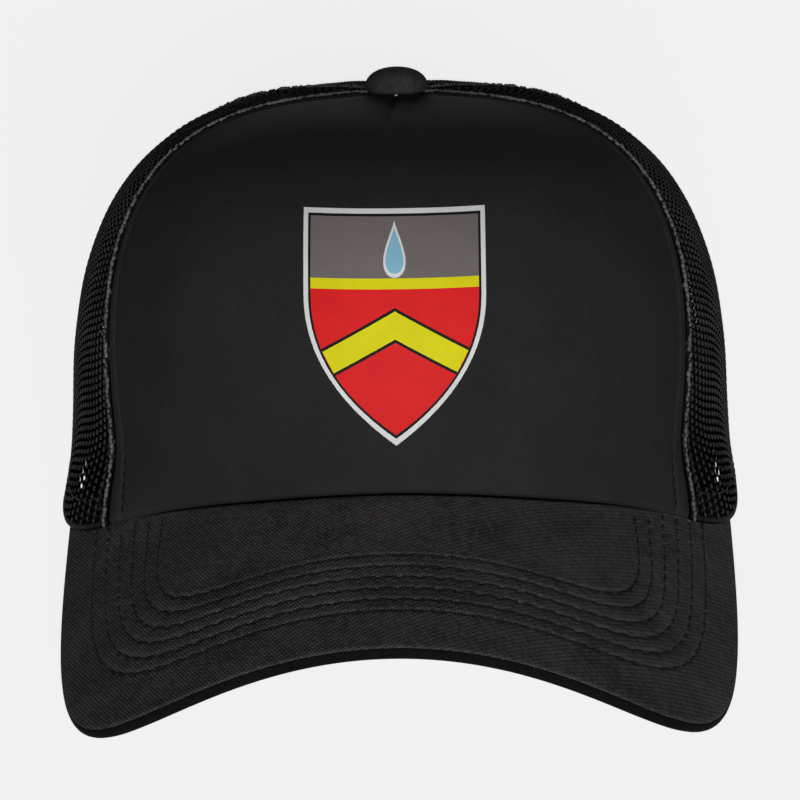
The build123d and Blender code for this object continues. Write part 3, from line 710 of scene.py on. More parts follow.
# The selvage loops are the net's black yarn painted light grey: painted glints of the dense folded edge.
selvage_yarn_painted_glint = net_material("net selvage yarn with painted glints", grey(0.01, 0.0101), grey(0.26, 0.263), 0.1)
foam_cells = foam_material()
snap_plastic = plastic_material("black snap plastic", grey(0.008, 0.009), grey(0.02, 0.021), 0.38)
board_plastic = plastic_material("visor board plastic", grey(0.01), grey(0.025), 0.6)
button_metal = metal_material()

frame["nodes"]["visor_board"].data.materials.clear()
frame["nodes"]["visor_board"].data.materials.append(board_plastic)
for node_name in ("button_shell", "button_rivet", "button_washer"):
    frame["nodes"][node_name].data.materials.clear()
    frame["nodes"][node_name].data.materials.append(button_metal)

# The front panel: charcoal cloth, turned in at its seams, with a topstitch beside each and a dart at the top
EDGE_WIDTHS = (0, 0.25, 0.6, 1.0, 1.7, 2.6, 3.4, 3.9, 4.2, 4.5, 4.8, 5.1, 5.6, 6.4)
EDGE_BAND, TOPSTITCH = 7.0, 4.5
PANEL_TOP = ring_rise(PANEL_REACH)
HEM_CURL, HEM_CURL_DEPTH = 1.1, 0.9
DART_LENGTH, DART_DEPTH, DART_WIDTH, DART_LEAN, DART_OFFSET = 70.0, 0.75, 0.85, 2.2, 0.4


def panel_azimuth(share, width, rise):
    """Azimuth of a line on the panel, a width in from its right seam (share 0) or its left one (share 1)."""
    half, degree = front_seam(rise), turn_for(1.0, 0.0, rise)
    pinch = min(1.0, 2 * half / degree / (2.5 * EDGE_BAND))
    return (1 - 2 * share) * (width * pinch * degree - half)


def seam_relief(width):
    """Depth of the turned-in edge and of the topstitch's groove, at a width from the seam."""
    return 0.55 * exp(-width / 0.7) + 0.62 * bump(width - TOPSTITCH, 0.42) - 0.12 * bump(width - 2.4, 1.3)


def front_depth(azimuth, rise, width):
    point = crown_point(azimuth, rise)
    depth = seam_relief(width)
    depth += HEM_CURL_DEPTH * max(1 - (point.z - hem(azimuth)) / HEM_CURL, 0) ** 2
    from_top = APEX_SETBACK - point.y if point.z > CROWN_HEIGHT / 2 else CROWN_HEIGHT
    share = min(max(from_top - BUTTON_RADIUS, 0) / DART_LENGTH, 1)
    offset = point.x + DART_OFFSET + DART_LEAN * share
    depth += (1 - share**3) * (DART_DEPTH * bump(offset, DART_WIDTH) - 0.35 * bump(offset - 2.1, 1.0))
    return depth + 0.16 * drift(azimuth / 14, rise / 17, 0.3)


def front_place(column, rise):
    azimuth = panel_azimuth(*column, rise)
    return crown_point(azimuth, rise, front_depth(azimuth, rise, column[1]))


columns = [(0, width) for width in EDGE_WIDTHS]
columns += [(share, EDGE_BAND) for share in spread(0, 1, 102)[1:-1]]
columns += [(1, width) for width in reversed(EDGE_WIDTHS)]
rises = spread(0, PANEL_TOP, 131)
bm = sheet(columns, rises, front_place)
piece("front_panel_cloth", bm, front_cloth, thickness=0.6, replaced=("front_panel",))

topstitch = []
for share in (0, 1):
    steps = spread(1.0, PANEL_TOP, 140)
    topstitch.append([crown_place(panel_azimuth(share, TOPSTITCH, rise), rise, 0.42) for rise in steps])
# These stitches' thread is in painted shade, darker than the net's thread.
stitches("front_panel_topstitch", topstitch, sunk_thread_painted_shade)
hem_row = [crown_place(azimuth, 1.2, 0.12) for azimuth in spread(-42, 42, 160)]
stitches("front_hem_stitches", [hem_row], sunk_thread_painted_shade, pitch=2 * STITCH_PITCH, length=0.6)

# The net: pillars of knitted loops that meet and part by turns, with open meshes between them
NET_WIDTH, NET_HEIGHT, NET_ZIGZAG = 2.5, 1.85, 0.62
NET_DEPTH, NET_STRAND, NET_SLIVER = 0.66, 0.86, 0.12
NET_SEAM_GAP, ARCH_GAP = 0.2, 3.0
LOOP_SHAPE, LOOP_PROUD = (0.33, 0.36, 0.7), 0.3


def net_panel(left, right, arch):
    """The net of one panel between two seams, as its thin strands and its knitted loops."""
    rise_steps = spread(0, PANEL_TOP, 200)
    heights = [0.0]
    for low, high in zip(rise_steps, rise_steps[1:]):
        middle = (left(low) + right(low)) / 2
        heights.append(heights[-1] + (crown_point(middle, high) - crown_point(middle, low)).length)

    def rise_for(height):
        height = min(max(height, 0), heights[-1])
        step = next(i for i, top in enumerate(heights[1:]) if top >= height)
        share = (height - heights[step]) / (heights[step + 1] - heights[step])
        return rise_steps[step] + (rise_steps[step + 1] - rise_steps[step]) * share

    def lay(x, y, depth):
        """A place of the flat net on the crown, and whether it lies outside the panel."""
        rise = rise_for(y)
        middle, half = (left(rise) + right(rise)) / 2, (right(rise) - left(rise)) / 2
        turn = x * turn_for(1, middle, rise)
        azimuth = middle + min(max(turn, -half), half)
        point = crown_point(azimuth, rise, depth + 0.25 * drift(azimuth / 9, rise / 8, 1.7))
        wide, high = abs(point.x) / (ARCH_HALF_WIDTH + ARCH_GAP), max(point.z, 0) / (ARCH_HEIGHT + ARCH_GAP)
        return point, abs(turn) > half or (arch and wide**ARCH_POWER + high**ARCH_POWER < 1)

    spans = [(right(rise) - left(rise)) / turn_for(1, (left(rise) + right(rise)) / 2, rise) for rise in rises]
    widest = max(spans)
    columns = ceil(widest / NET_WIDTH) + 1
    rows = 2 * ceil(heights[-1] / NET_HEIGHT)
    bm, corners = grid(
        spread(-columns * NET_WIDTH / 2, columns * NET_WIDTH / 2, columns + 1),
        spread(0, rows * NET_HEIGHT / 2, rows + 1),
        lambda x, y: Vector((x, y, 0)),
    )
    inside = [(i, j) for i, j in corners if 0 < j < rows]
    unwanted, joins = [], []
    for i, j in inside:
        if i < columns:
            if (i + j) % 2:
                unwanted.append(bm.edges.get((corners[i, j], corners[i + 1, j])))
            else:
                joins.append((corners[i, j].co.x + NET_WIDTH / 2, corners[i, j].co.y))
    for i, j in inside:
        corners[i, j].co.x += -NET_ZIGZAG if (i + j) % 2 else NET_ZIGZAG
    bmesh.ops.dissolve_edges(bm, edges=unwanted, use_verts=False)
    outside = set()
    for vert in bm.verts:
        vert.co, beyond = lay(vert.co.x, vert.co.y, NET_DEPTH)
        if beyond:
            outside.add(vert)
    lost = [face for face in bm.faces if all(vert in outside for vert in face.verts)]
    bmesh.ops.delete(bm, geom=lost, context="FACES")
    bmesh.ops.collapse(bm, edges=[edge for edge in bm.edges if edge.calc_length() < NET_SLIVER])
    loops = bmesh.new()
    for x, y in joins:
        spot, beyond = lay(x, y, NET_DEPTH - LOOP_PROUD)
        above, _ = lay(x, y + 0.5, NET_DEPTH - LOOP_PROUD)
        inner, _ = lay(x, y, NET_DEPTH + 0.5)
        if not beyond and (above - spot).length > 0.1:
            add_bead(loops, spot, above - spot, spot - inner, LOOP_SHAPE)
    return bm, loops


for side, flipped in SIDES:
    for part, start, end in (("side", front_seam, back_seam), ("back", back_seam, centre_seam)):
        left, right = partial(beside, start, NET_SEAM_GAP), partial(beside, end, -NET_SEAM_GAP)
        strands, loops = net_panel(left, right, part == "back")
        if flipped:
            flip(strands)
            flip(loops)
        name = f"{side}_{part}_mesh"
        piece(name + "_net", strands, net_strand_painted_shade, wire=NET_STRAND, replaced=(name,))
        piece(name + "_loops", loops, net_loop_painted_glint, sharp=180)

# The net's edge, turned under along each seam: a narrow roll with a line of knitted loops on it, painted
# light grey as glints
ROLL_HALF_WIDTH, ROLL_HEIGHT, ROLL_FOOT, ROLL_OFFSET = 0.5, 0.6, 0.3, 0.95
ROLL_LOOP_PITCH, ROLL_LOOP_SHAPE = 1.25, (0.42, 0.45, 0.75)
ARCH_TOP_RISE = rise_at(180, ARCH_HEIGHT + BINDING_WIDTH)


def seam_roll(name, seam, offset, foot, flipped):
    """A narrow knitted roll along a seam, and the uneven loops that cover it."""

    def place(turn, rise):
        azimuth = beside(seam, offset + ROLL_HALF_WIDTH * cos(turn), rise)
        return crown_point(azimuth, rise, ROLL_FOOT - ROLL_HEIGHT * sin(turn))

    loops = bmesh.new()
    walked, due, last = 0.0, 0.0, None
    for rise in spread(foot, PANEL_TOP, 900):
        spot, out = crown_place(beside(seam, offset, rise), rise, ROLL_FOOT - ROLL_HEIGHT)
        if last is not None:
            walked += (spot - last).length
            if walked >= due:
                shape = [size * (1 + 0.6 * drift(walked / 0.9, offset, 2.3)) for size in ROLL_LOOP_SHAPE]
                aside = out.cross(spot - last).normalized() * 0.8 * drift(walked / 1.3, 0.5, 8.1)
                add_bead(loops, spot + aside, (spot - last).normalized() + aside, out, shape)
                due += ROLL_LOOP_PITCH
        last = spot
    if flipped:
        flip(loops)
    roll = sheet(spread(pi, 0, 6), spread(foot, PANEL_TOP, 260), place, flipped=flipped)
    piece(name + "_seam_roll", roll, selvage, thickness=0.3)
    piece(name + "_seam_loops", loops, selvage_yarn_painted_glint, sharp=180)


for side, flipped in SIDES:
    for part, seam in SEAMS:
        seam_roll(f"{side}_{part}", seam, ROLL_OFFSET, 0.0, flipped)
seam_roll("centre_back", centre_seam, 0.0, ARCH_TOP_RISE, False)

# The net's lower edge, turned up inside along the hem: (height above the hem, depth) round the fold
FOLD = ((1.5, 0.5), (1.1, 0.12), (0.5, 0.0), (0.05, 0.3), (0.0, 0.8), (0.3, 1.3), (1.2, 1.5))
for side, flipped in SIDES:
    azimuths = spread(front_seam(0) + 0.3, side_azimuth(ARCH_HALF_WIDTH + 1), 160)
    bm = sheet(azimuths, FOLD, lambda azimuth, step: above_hem(azimuth, *step), inner=True, flipped=flipped)
    piece(side + "_mesh_hem_fold", bm, selvage, thickness=0.3)

# Topstitches on the net, on both sides of each back seam and along the hem
SEAM_STITCH, HEM_STITCH, THREAD_DEPTH = 3.2, HEM_TAPE_HEIGHT - 2.0, 0.1
ARCH_AZIMUTH = side_azimuth(ARCH_HALF_WIDTH + BINDING_WIDTH)


def seam_stitches(seam, offset, foot):
    steps = spread(foot, PANEL_TOP - 2, 150)
    return [crown_place(beside(seam, offset, rise), rise, THREAD_DEPTH) for rise in steps]


left_lines = [seam_stitches(front_seam, SEAM_STITCH, 2.0)]
left_lines += [seam_stitches(back_seam, offset, 2.0) for offset in (-SEAM_STITCH, SEAM_STITCH)]
left_lines.append([
    crown_place(azimuth, rise_at(azimuth, hem(azimuth) + HEM_STITCH), THREAD_DEPTH)
    for azimuth in spread(48, ARCH_AZIMUTH, 160)
])
lines = left_lines + [[(point * FLIP, out * FLIP) for point, out in line] for line in left_lines]
lines += [seam_stitches(centre_seam, offset, ARCH_TOP_RISE) for offset in (-SEAM_STITCH, SEAM_STITCH)]
stitches("mesh_topstitch", lines, thread)

# The visor: a quilted twill cover rolled over the board's edge and a plain one below, joined by stitched
# rows; the one below is painted darker, as shade, and wraps round the rim's lower part
ROW_COUNT = 6
ROW_MARGIN_FRONT, ROW_STEP_FRONT = 15.5, 4.65
ROW_MARGIN_SIDE, ROW_STEP_SIDE = 11.2, 4.2
ROW_CORNER, SCALLOP = 0.85, 0.55
VISOR_STITCH, VISOR_STITCH_LENGTH, VISOR_THREAD = 4.7, 3.9, 0.24
TOP_DEPTH = 0.1
RIM_RADIUS, RIM_SEAM = (VISOR_THICKNESS - TOP_DEPTH) / 2, 35.0
ROOT_CLEARANCE, ROOT_DIP, ROOT_DIP_WIDTH = 2.5, 0.4, 0.8
GATHER_REACH, GATHER_SHARE = 2.0, 0.68


def row_margin(row, bearing):
    """How far a stitched row runs inside the visor's edge; row 0 is nearest to it."""
    front = ROW_MARGIN_FRONT + ROW_STEP_FRONT * row
    side = ROW_MARGIN_SIDE + ROW_STEP_SIDE * row
    corner = ROW_CORNER * row * bump(abs(bearing) - 33, 10)
    return front + (side - front) * ease((abs(bearing) - 10) / 34) - corner


def pattern_place(across, along):
    """Bearing and margin of a point of the visor's flat pattern."""
    bearing = degrees(atan2(across, along - VISOR_TIP_SETBACK))
    margin = 20.0
    for _ in range(3):
        here, inward = (pattern_reach(visor_edge(bearing, width)) for width in (margin, margin + 1))
        margin += (here - pattern_reach((across, along))) / (here - inward)
    return bearing, margin


def gather(bearing, margin):
    """Draw lines of the cover's grid towards the nearest stitched row."""
    for row in range(ROW_COUNT):
        away = margin - row_margin(row, bearing)
        if abs(away) < GATHER_REACH:
            return margin - away * GATHER_SHARE * (1 - abs(away) / GATHER_REACH)
    return margin


def row_line(row, depth, facing):
    """Points and outward directions along a stitched row, kept in front of the crown."""
    line = []
    for bearing in spread(-86, 86, 700):
        spot = visor_edge(bearing, row_margin(row, bearing))
        if pattern_reach(spot) >= pattern_reach(visor_root(bearing)) + ROOT_CLEARANCE:
            line.append((visor_point(*spot, depth), visor_normal(*spot) * facing))
    return line


def row_lengths(row):
    """Distance along a stitched row from the middle, by bearing in whole degrees."""
    spots = [visor_edge(bearing, row_margin(row, bearing)) for bearing in range(91)]
    lengths = [0.0]
    for (x, y), (next_x, next_y) in zip(spots, spots[1:]):
        lengths.append(lengths[-1] + hypot(next_x - x, next_y - y))
    return lengths


lengths_of_row = [row_lengths(row) for row in range(ROW_COUNT)]


def along_row(row, bearing):
    low = min(floor(abs(bearing)), 89)
    start, end = lengths_of_row[row][low:low + 2]
    walked = start + (end - start) * (abs(bearing) - low)
    return walked if bearing > 0 else -walked


def quilting(across, along, bearing, margin):
    """How deep the stitched rows pull the visor's cover in at a point of the flat pattern."""
    bearing = min(max(bearing, -89.0), 89.0)
    depth = 0.0
    for row in range(ROW_COUNT):
        away = margin - row_margin(row, bearing)
        if abs(away) > 3:
            continue
        beat = cos(2 * pi * along_row(row, bearing) / VISOR_STITCH)
        away -= SCALLOP * (0.5 - 0.5 * beat) ** 0.5
        depth += (0.32 + 0.14 * beat) * bump(away, 0.4) - (0.07 - 0.04 * beat) * bump(away - 0.9, 0.55)
    return depth + 0.07 * drift(across / 3.1, along / 7.0, 2.0) + 0.2 * drift(across / 22, along / 16, 5.0)


def visor_sheet(path, strength, bearings):
    """A cover of the visor; path gives (share from root to edge, margin, depth) for each row of its grid."""
    flats = {}

    def place(column, step):
        share, margin, depth = path[step]
        bearing = bearings[column]
        root, edge = visor_root(bearing), visor_edge(bearing, margin)
        across = root[0] + (edge[0] - root[0]) * share
        along = root[1] + (edge[1] - root[1]) * share
        sunk = 0.0
        if 0 < share < 1:
            turn, inward = pattern_place(across, along)
            held = ease(share * 12)
            inward += (gather(turn, inward) - inward) * held
            across, along = visor_edge(turn, inward)
            sunk = strength * quilting(across, along, turn, inward) * held * ease((1 - share) * 20)
        if share < 0.2 and strength > 0:
            depth += ROOT_DIP * strength * min(exp(-100 * share / ROOT_DIP_WIDTH), 1)
        flats[column, step] = (across, along + (max(depth, 0) if share >= 1 else 0))
        return visor_point(across, along, depth + sunk)

    return sheet(range(len(bearings)), range(len(path)), place, inner=True, flat=flats)


def inward_path(depth, count):
    """Rows of the grid from the visor's root to its rim, all at one depth."""
    return [(share, RIM_RADIUS, depth) for share in spread(0, 1, count)]


def rim_path(first, last, steps):
    """Rows of the grid around the visor's rim, from 0 at its top to 180 at its underside."""
    turns = spread(first, last, steps)
    return [(1, RIM_RADIUS * (1 - sind(turn)), TOP_DEPTH + RIM_RADIUS * (1 - cosd(turn))) for turn in turns]


def visor_bearings(count):
    return spread(-VISOR_TIP_BEARING, VISOR_TIP_BEARING, count)


# A tape behind the hem of the crown, to which the visor's root is sewn, coloured near-black as painted shade
# so that the seam between crown and visor reads as a dark line
ROOT_TAPE = ((-0.03, -1.8), (-0.014, -0.3), (-0.004, 0.1), (0.002, 0.3))
tape_path = [(share, RIM_RADIUS, depth) for share, depth in ROOT_TAPE]
bm = visor_sheet(tape_path, 1.0, visor_bearings(200))
piece("visor_root_tape", bm, seam_cloth_painted_shade, thickness=0.3)

quality = 1.0
top_path = inward_path(TOP_DEPTH, int(120 * quality)) + rim_path(15, RIM_SEAM, 3)
top_path += [(1, 1.2, TOP_DEPTH + 0.6), (1, 1.6, TOP_DEPTH + 1.0)]
bm = visor_sheet(top_path, 1.0, visor_bearings(int(340 * quality)))
piece("visor_top_cloth", bm, visor_cloth, thickness=0.45, replaced=("visor_top_cover",))

# The lower cover wraps up round the rim to RIM_SEAM + 6 degrees, so its painted shade darkens the rim's lower
# part.
under_path = inward_path(VISOR_THICKNESS, 60) + rim_path(165, RIM_SEAM + 6, 9) + [(1, 1.0, TOP_DEPTH + 0.8)]
bm = visor_sheet(under_path, -0.45, visor_bearings(260))
turn_over(bm)
piece("visor_under_cloth", bm, under_cloth_painted_shade, thickness=0.5, replaced=("visor_under_cover",))

for name, depth, facing in (("visor_top_stitches", 0.2, 1), ("visor_under_stitches", VISOR_THICKNESS, -1)):
    lines = [row_line(row, depth, facing) for row in range(ROW_COUNT)]
    stitches(name, lines, thread, VISOR_STITCH, VISOR_STITCH_LENGTH, VISOR_THREAD)

# The button: twill drawn over the dome
BUTTON_BASE = CROWN_HEIGHT + PLY_GAP
BUTTON_EDGE, BUTTON_MOUTH, GATHER_HEIGHT = 1.3, 5.3, 2.4


def button_profile():
    """The dome's outline from its top down to the turned-in edge, as (radius, height)."""
    knee = BUTTON_EDGE + 0.6 * (BUTTON_HEIGHT - BUTTON_EDGE)
    points = []
    for far in spread(0, 1, 22):
        near = 1 - far
        radius = 1.8 * near**2 * far + 3 * near * far**2 + far**3
        height = BUTTON_HEIGHT * near**2 * (near + 3 * far) + 3 * near * far**2 * knee + far**3 * BUTTON_EDGE
        points.append((BUTTON_RADIUS * radius, height))
    for turn in spread(15, 90, 6):
        points.append((BUTTON_RADIUS - BUTTON_EDGE * (1 - cosd(turn)), BUTTON_EDGE * (1 - sind(turn))))
    return points + [(BUTTON_MOUTH, 0.0)]


def button_cover():
    bm = turned([(radius, BUTTON_BASE + height) for radius, height in button_profile()], APEX_SETBACK, 96)
    for vert in bm.verts:
        out = Vector((vert.co.x, vert.co.y - APEX_SETBACK, 0))
        turn = atan2(out.y, out.x)
        low = ease((BUTTON_BASE + GATHER_HEIGHT - vert.co.z) / GATHER_HEIGHT)
        vert.co += out.normalized() * low * (0.09 * sin(13 * turn + 1) + 0.06 * sin(23 * turn))
    bmesh.ops.recalc_face_normals(bm, faces=bm.faces)
    lay_cloth(bm, lambda vert: (vert.co.x * 1.15, (vert.co.y - APEX_SETBACK) * 1.15 + vert.co.z))
    return bm


piece("button_cloth", button_cover(), button_twill, thickness=0.4, replaced=("button_cover",))

# Inside: foam lining, seam and hem tapes, sweatband


def foam_place(share, rise):
    half = beside(front_seam, -FOAM_MARGIN, rise)
    azimuth = half * (2 * share - 1)
    puff = 0.12 * drift(azimuth / 6, rise / 7, 9)
    return crown_point(azimuth, rise, FRONT_CLOTH + PLY_GAP + 0.1 + puff)


bm = sheet(spread(0, 1, 70), spread(0.4, ring_rise(FOAM_TOP_REACH), 60), foam_place)
lining = piece("front_foam_pad", bm, foam_cells, thickness=FOAM, replaced=("front_foam_lining",))

TAPE_DEPTH = MESH_CLOTH + PLY_GAP
TAPE_SHARES = (-1, -0.93, -0.72, -0.6, -0.3, 0, 0.3, 0.6, 0.72, 0.93, 1)


def tape_inner_depth(share):
    """Depth of a tape's inner face, which dips at two stitched lines and thins at its edges."""
    dip = 0.12 * (bump(share - 0.66, 0.08) + bump(share + 0.66, 0.08)) + 0.12 * abs(share) ** 8
    return TAPE_DEPTH + TAPE - dip


def tape(name, bm):
    piece(name + "_cloth", bm, tape_cloth, thickness=TAPE - 0.1, replaced=(name,))


def seam_tape(name, seam, foot, flipped):
    def place(share, rise):
        return crown_point(beside(seam, share * TAPE_HALF_WIDTH, rise), rise, tape_inner_depth(share))

    rises = spread(foot, ring_rise(TAPE_TOP_REACH), 90)
    tape(name + "_seam_tape", sheet(TAPE_SHARES, rises, place, inner=True, flipped=flipped))


def hem_tape_place(azimuth, share):
    height = PLY_GAP + (HEM_TAPE_HEIGHT - PLY_GAP) * (share + 1) / 2
    return above_hem(azimuth, height, tape_inner_depth(share))


for side, flipped in SIDES:
    for part, seam in SEAMS:
        foot = rise_at(seam(0), hem(seam(0)) + HEM_TAPE_HEIGHT + 2 * PLY_GAP)
        seam_tape(f"{side}_{part}", seam, foot, flipped)
seam_tape("centre_back", centre_seam, rise_at(180, ARCH_HEIGHT + BINDING_WIDTH + PLY_GAP), False)
for side, flipped in SIDES:
    azimuths = spread(FRONT_SEAM_AZIMUTH + 1, ARCH_AZIMUTH, 150)
    tape(side + "_hem_tape", sheet(azimuths, TAPE_SHARES, hem_tape_place, inner=True, flipped=flipped))

BAND_END = side_azimuth(ARCH_HALF_WIDTH + BAND_END_GAP)
BAND_ROWS = (0, 0.02, 0.06, 0.1, 0.12, 0.14, 0.2, 0.3, 0.45, 0.6, 0.75, 0.84, 0.87, 0.89, 0.91, 0.94)
BAND_ROWS += (0.97, 0.99, 1)
BAND_STITCHES = (0.12, 0.88)
BAND_INSET = 0.3


def band_place(azimuth, share):
    height = PLY_GAP + (BAND_HEIGHT - PLY_GAP) * share
    back = (1 - cosd(azimuth)) / (1 - cosd(BAND_END))
    depth = BAND_DEPTH_FRONT + (BAND_DEPTH_BACK - BAND_DEPTH_FRONT) * back + flare(hem(azimuth) + height)
    puff = 0.25 * bump(share - 0.45, 0.25) + 0.2 * bump(share - 0.955, 0.035)
    crease = sum(0.3 * bump(share - row, 0.012) for row in BAND_STITCHES)
    ripple = 0.12 * drift(azimuth / 3, share * 3, 4)
    return above_hem(azimuth, height, depth + BAND_CLOTH - BAND_INSET + puff - crease + ripple)


bm = sheet(spread(-BAND_END, BAND_END, 260), BAND_ROWS, band_place, inner=True)
thickness = BAND_CLOTH - BAND_INSET
piece("sweatband_cloth", bm, band_cloth, thickness=thickness, replaced=("sweatband",))
lines = []
for share in BAND_STITCHES:
    line = []
    for azimuth in spread(-BAND_END + 1, BAND_END - 1, 300):
        out = -crown_normal(azimuth, rise_at(azimuth, hem(azimuth) + BAND_HEIGHT * share))
        line.append((band_place(azimuth, share), out))
    lines.append(line)
stitches("sweatband_stitches", lines, thread)

# The binding: a tape folded over the back opening's edge
BINDING_OUT = PLY_GAP + BINDING_TAPE
BINDING_IN = MESH_CLOTH + PLY_GAP + BINDING_TAPE
BINDING_STITCH = 5.3


def arch_edge(turn, margin):
    """A point of the opening's edge as seen from behind, moved outward by a margin."""
    wide, high = abs(cosd(turn)) ** (2 / ARCH_POWER), abs(sind(turn)) ** (2 / ARCH_POWER)
    side = 1 if turn < 90 else -1
    return side * (ARCH_HALF_WIDTH + margin) * wide, (ARCH_HEIGHT + margin) * high


margins = (BINDING_WIDTH, 6.7, 5.8, BINDING_STITCH, 4.8, 3.6, 2.4, 1.4)
fold_radius = (BINDING_OUT + BINDING_IN) / 2
fold = [(margin, -BINDING_OUT) for margin in margins]
for turn in spread(0, 180, 9):
    margin = fold_radius * (1 - sind(turn)) - BINDING_LIP
    fold.append((margin, fold_radius * (1 - cosd(turn)) - BINDING_OUT))
fold += [(margin, BINDING_IN) for margin in reversed(margins)]


def binding_place(step, turn):
    margin, depth = step
    sunk = 0.18 * bump(margin - BINDING_STITCH, 0.35)
    tuck = 0.10 * drift(turn / 2.2, margin / 3, 6)
    return face_point(*arch_edge(turn, margin), depth + (sunk if depth < 0 else -sunk) + tuck, back=True)


tape("back_opening_binding", sheet(fold, spread(0.4, 179.6, 150), binding_place))
line = []
for turn in spread(1, 179, 300):
    edge = arch_edge(turn, BINDING_STITCH)
    point = face_point(*edge, -BINDING_OUT + 0.08, back=True)
    line.append((point, (point - face_point(*edge, 1.0, back=True)).normalized()))
stitches("binding_stitches", [line], thread)

# The snap closure: each strap is one strip of plastic, curved round the back of the cap
strap_front = oval(side_azimuth(STRAP_ROOT + TAB_LENGTH), STRAP_DEPTH)
strap_back = BACK_LENGTH - STRAP_DEPTH
strap_bulge = strap_back - strap_front.y
hole_strap_radius = (strap_front.x**2 + strap_bulge**2) / (2 * strap_bulge)
peg_strap_radius = hole_strap_radius - STRAP_THICKNESS - STRAP_GAP
strap_centre = strap_back - hole_strap_radius
STRAP_MIDDLE = STRAP_BOTTOM + STRAP_WIDTH / 2
BEND_REACH, STRAP_BEVEL, PEG_ROOT = 4.0, 0.22, 0.3


def strap_point(radius, distance, height, depth):
    """A point of a strap at a distance from the middle, towards the wearer's left."""
    turn = distance / hole_strap_radius
    reach = radius - depth
    return Vector((reach * sin(turn), strap_centre + reach * cos(turn), STRAP_MIDDLE + height))


def strap_half_width(distance):
    """Half the strap's width, rounded off towards its tip."""
    into = max(distance - (STRAP_TIP - STRAP_TIP_RADIUS), 0)
    square = STRAP_TIP_RADIUS**2 - min(into, STRAP_TIP_RADIUS) ** 2
    return STRAP_WIDTH / 2 - STRAP_TIP_RADIUS + sqrt(square)


def strap_cell(bm, start, end, hole):
    """One length of a flat strap in the XY plane, with a round hole or a closed middle."""
    half, length = STRAP_WIDTH / 2, end - start
    outline = [(start + length * i / 4, -half) for i in range(4)]
    outline += [(end, half * (i / 4 - 1)) for i in range(8)]
    outline += [(end - length * i / 4, half) for i in range(4)]
    outline += [(start, half * (1 - i / 4)) for i in range(8)]
    outer = [bm.verts.new((x, y, 0)) for x, y in outline]
    middle = Vector(((start + end) / 2, 0, 0))
    inner = [bm.verts.new(middle + (vert.co - middle).normalized() * SNAP_HOLE_RADIUS) for vert in outer]
    rims = [bm.edges.new((ring[i - 1], ring[i])) for ring in (outer, inner) for i in range(len(ring))]
    bmesh.ops.bridge_loops(bm, edges=rims)
    if not hole:
        bm.faces.new(inner)


def flat_strap(holes):
    """A flat strap from its tip, at -STRAP_TIP, to its sewn end: x along, y across."""
    bm = bmesh.new()
    stations = [SNAP_PITCH * (number - 0.5) - SNAP_FIRST for number in range(SNAP_COUNT + 1)]
    for start, end in zip(stations, stations[1:]):
        strap_cell(bm, start, end, holes)
    for start, end, steps in ((-STRAP_TIP, stations[0], 6), (stations[-1], STRAP_ROOT + TAB_LENGTH, 22)):
        strip = bmesh.ops.create_grid(bm, x_segments=steps, y_segments=8, size=0.5)["verts"]
        for vert in strip:
            vert.co.x = start + (end - start) * (vert.co.x + 0.5)
            vert.co.y *= STRAP_WIDTH
    bmesh.ops.remove_doubles(bm, verts=bm.verts, dist=0.01)
    bmesh.ops.recalc_face_normals(bm, faces=bm.faces)
    if sum(face.normal.z for face in bm.faces) < 0:
        turn_over(bm)
    return bm


def add_peg(bm, place):
    """A snap peg: a short neck under a slightly wider rounded head."""
    top = PEG_ROOT + PEG_HEIGHT
    shape = ((0.95, 0), (0.86, 0.7), (0.84, 1.2), (1, 1.5), (1, 1.9), (0.8, top - 0.1), (0.4, top), (0, top))
    peg = turned([(PEG_RADIUS * share, height) for share, height in shape], 0, 24)
    peg.transform(place)
    mesh = to_mesh("peg", peg)
    bm.from_mesh(mesh)
    bpy.data.meshes.remove(mesh)


def snap_strap(kind, side, radius, holes):
    """A finished strap, sewn on the given side of the cap (1 is the wearer's left)."""
    bm = flat_strap(holes)
    bmesh.ops.solidify(bm, geom=bm.faces[:], thickness=STRAP_THICKNESS)
    high = max(vert.co.z for vert in bm.verts)
    edges = [edge for edge in bm.edges if len(edge.link_faces) == 2 and edge.calc_face_angle(0) > radians(60)]
    bmesh.ops.bevel(
        bm, geom=edges, offset=STRAP_BEVEL, segments=2, profile=0.5, affect="EDGES", material=-1,
        clamp_overlap=True,
    )
    for vert in bm.verts:
        across = vert.co.y * strap_half_width(-vert.co.x) / (STRAP_WIDTH / 2)
        vert.co = strap_point(radius, side * vert.co.x, across, high - vert.co.z)
    if not holes:
        for number in range(SNAP_COUNT):
            distance = side * (SNAP_PITCH * number - SNAP_FIRST)
            out = strap_point(radius, distance, 0, -1) - strap_point(radius, distance, 0, 0)
            turn = out.to_track_quat("Z", "Y").to_matrix().to_4x4()
            add_peg(bm, Matrix.Translation(strap_point(radius, distance, 0, PEG_ROOT)) @ turn)
    bmesh.ops.recalc_face_normals(bm, faces=bm.faces)
    name = kind + "_strap"
    replaced = (name, name + "_tab")
    made = piece(name + "_plastic", bm, snap_plastic, body=None, replaced=replaced, sharp=35)
    start, end = (
        place_mm @ strap_point(radius, side * (STRAP_ROOT + reach), 0, STRAP_THICKNESS / 2)
        for reach in (BEND_REACH, -BEND_REACH)
    )
    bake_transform(made)
    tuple(start)
    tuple(end)


snap_strap("hole", 1, hole_strap_radius, True)
snap_strap("peg", -1, peg_strap_radius, False)

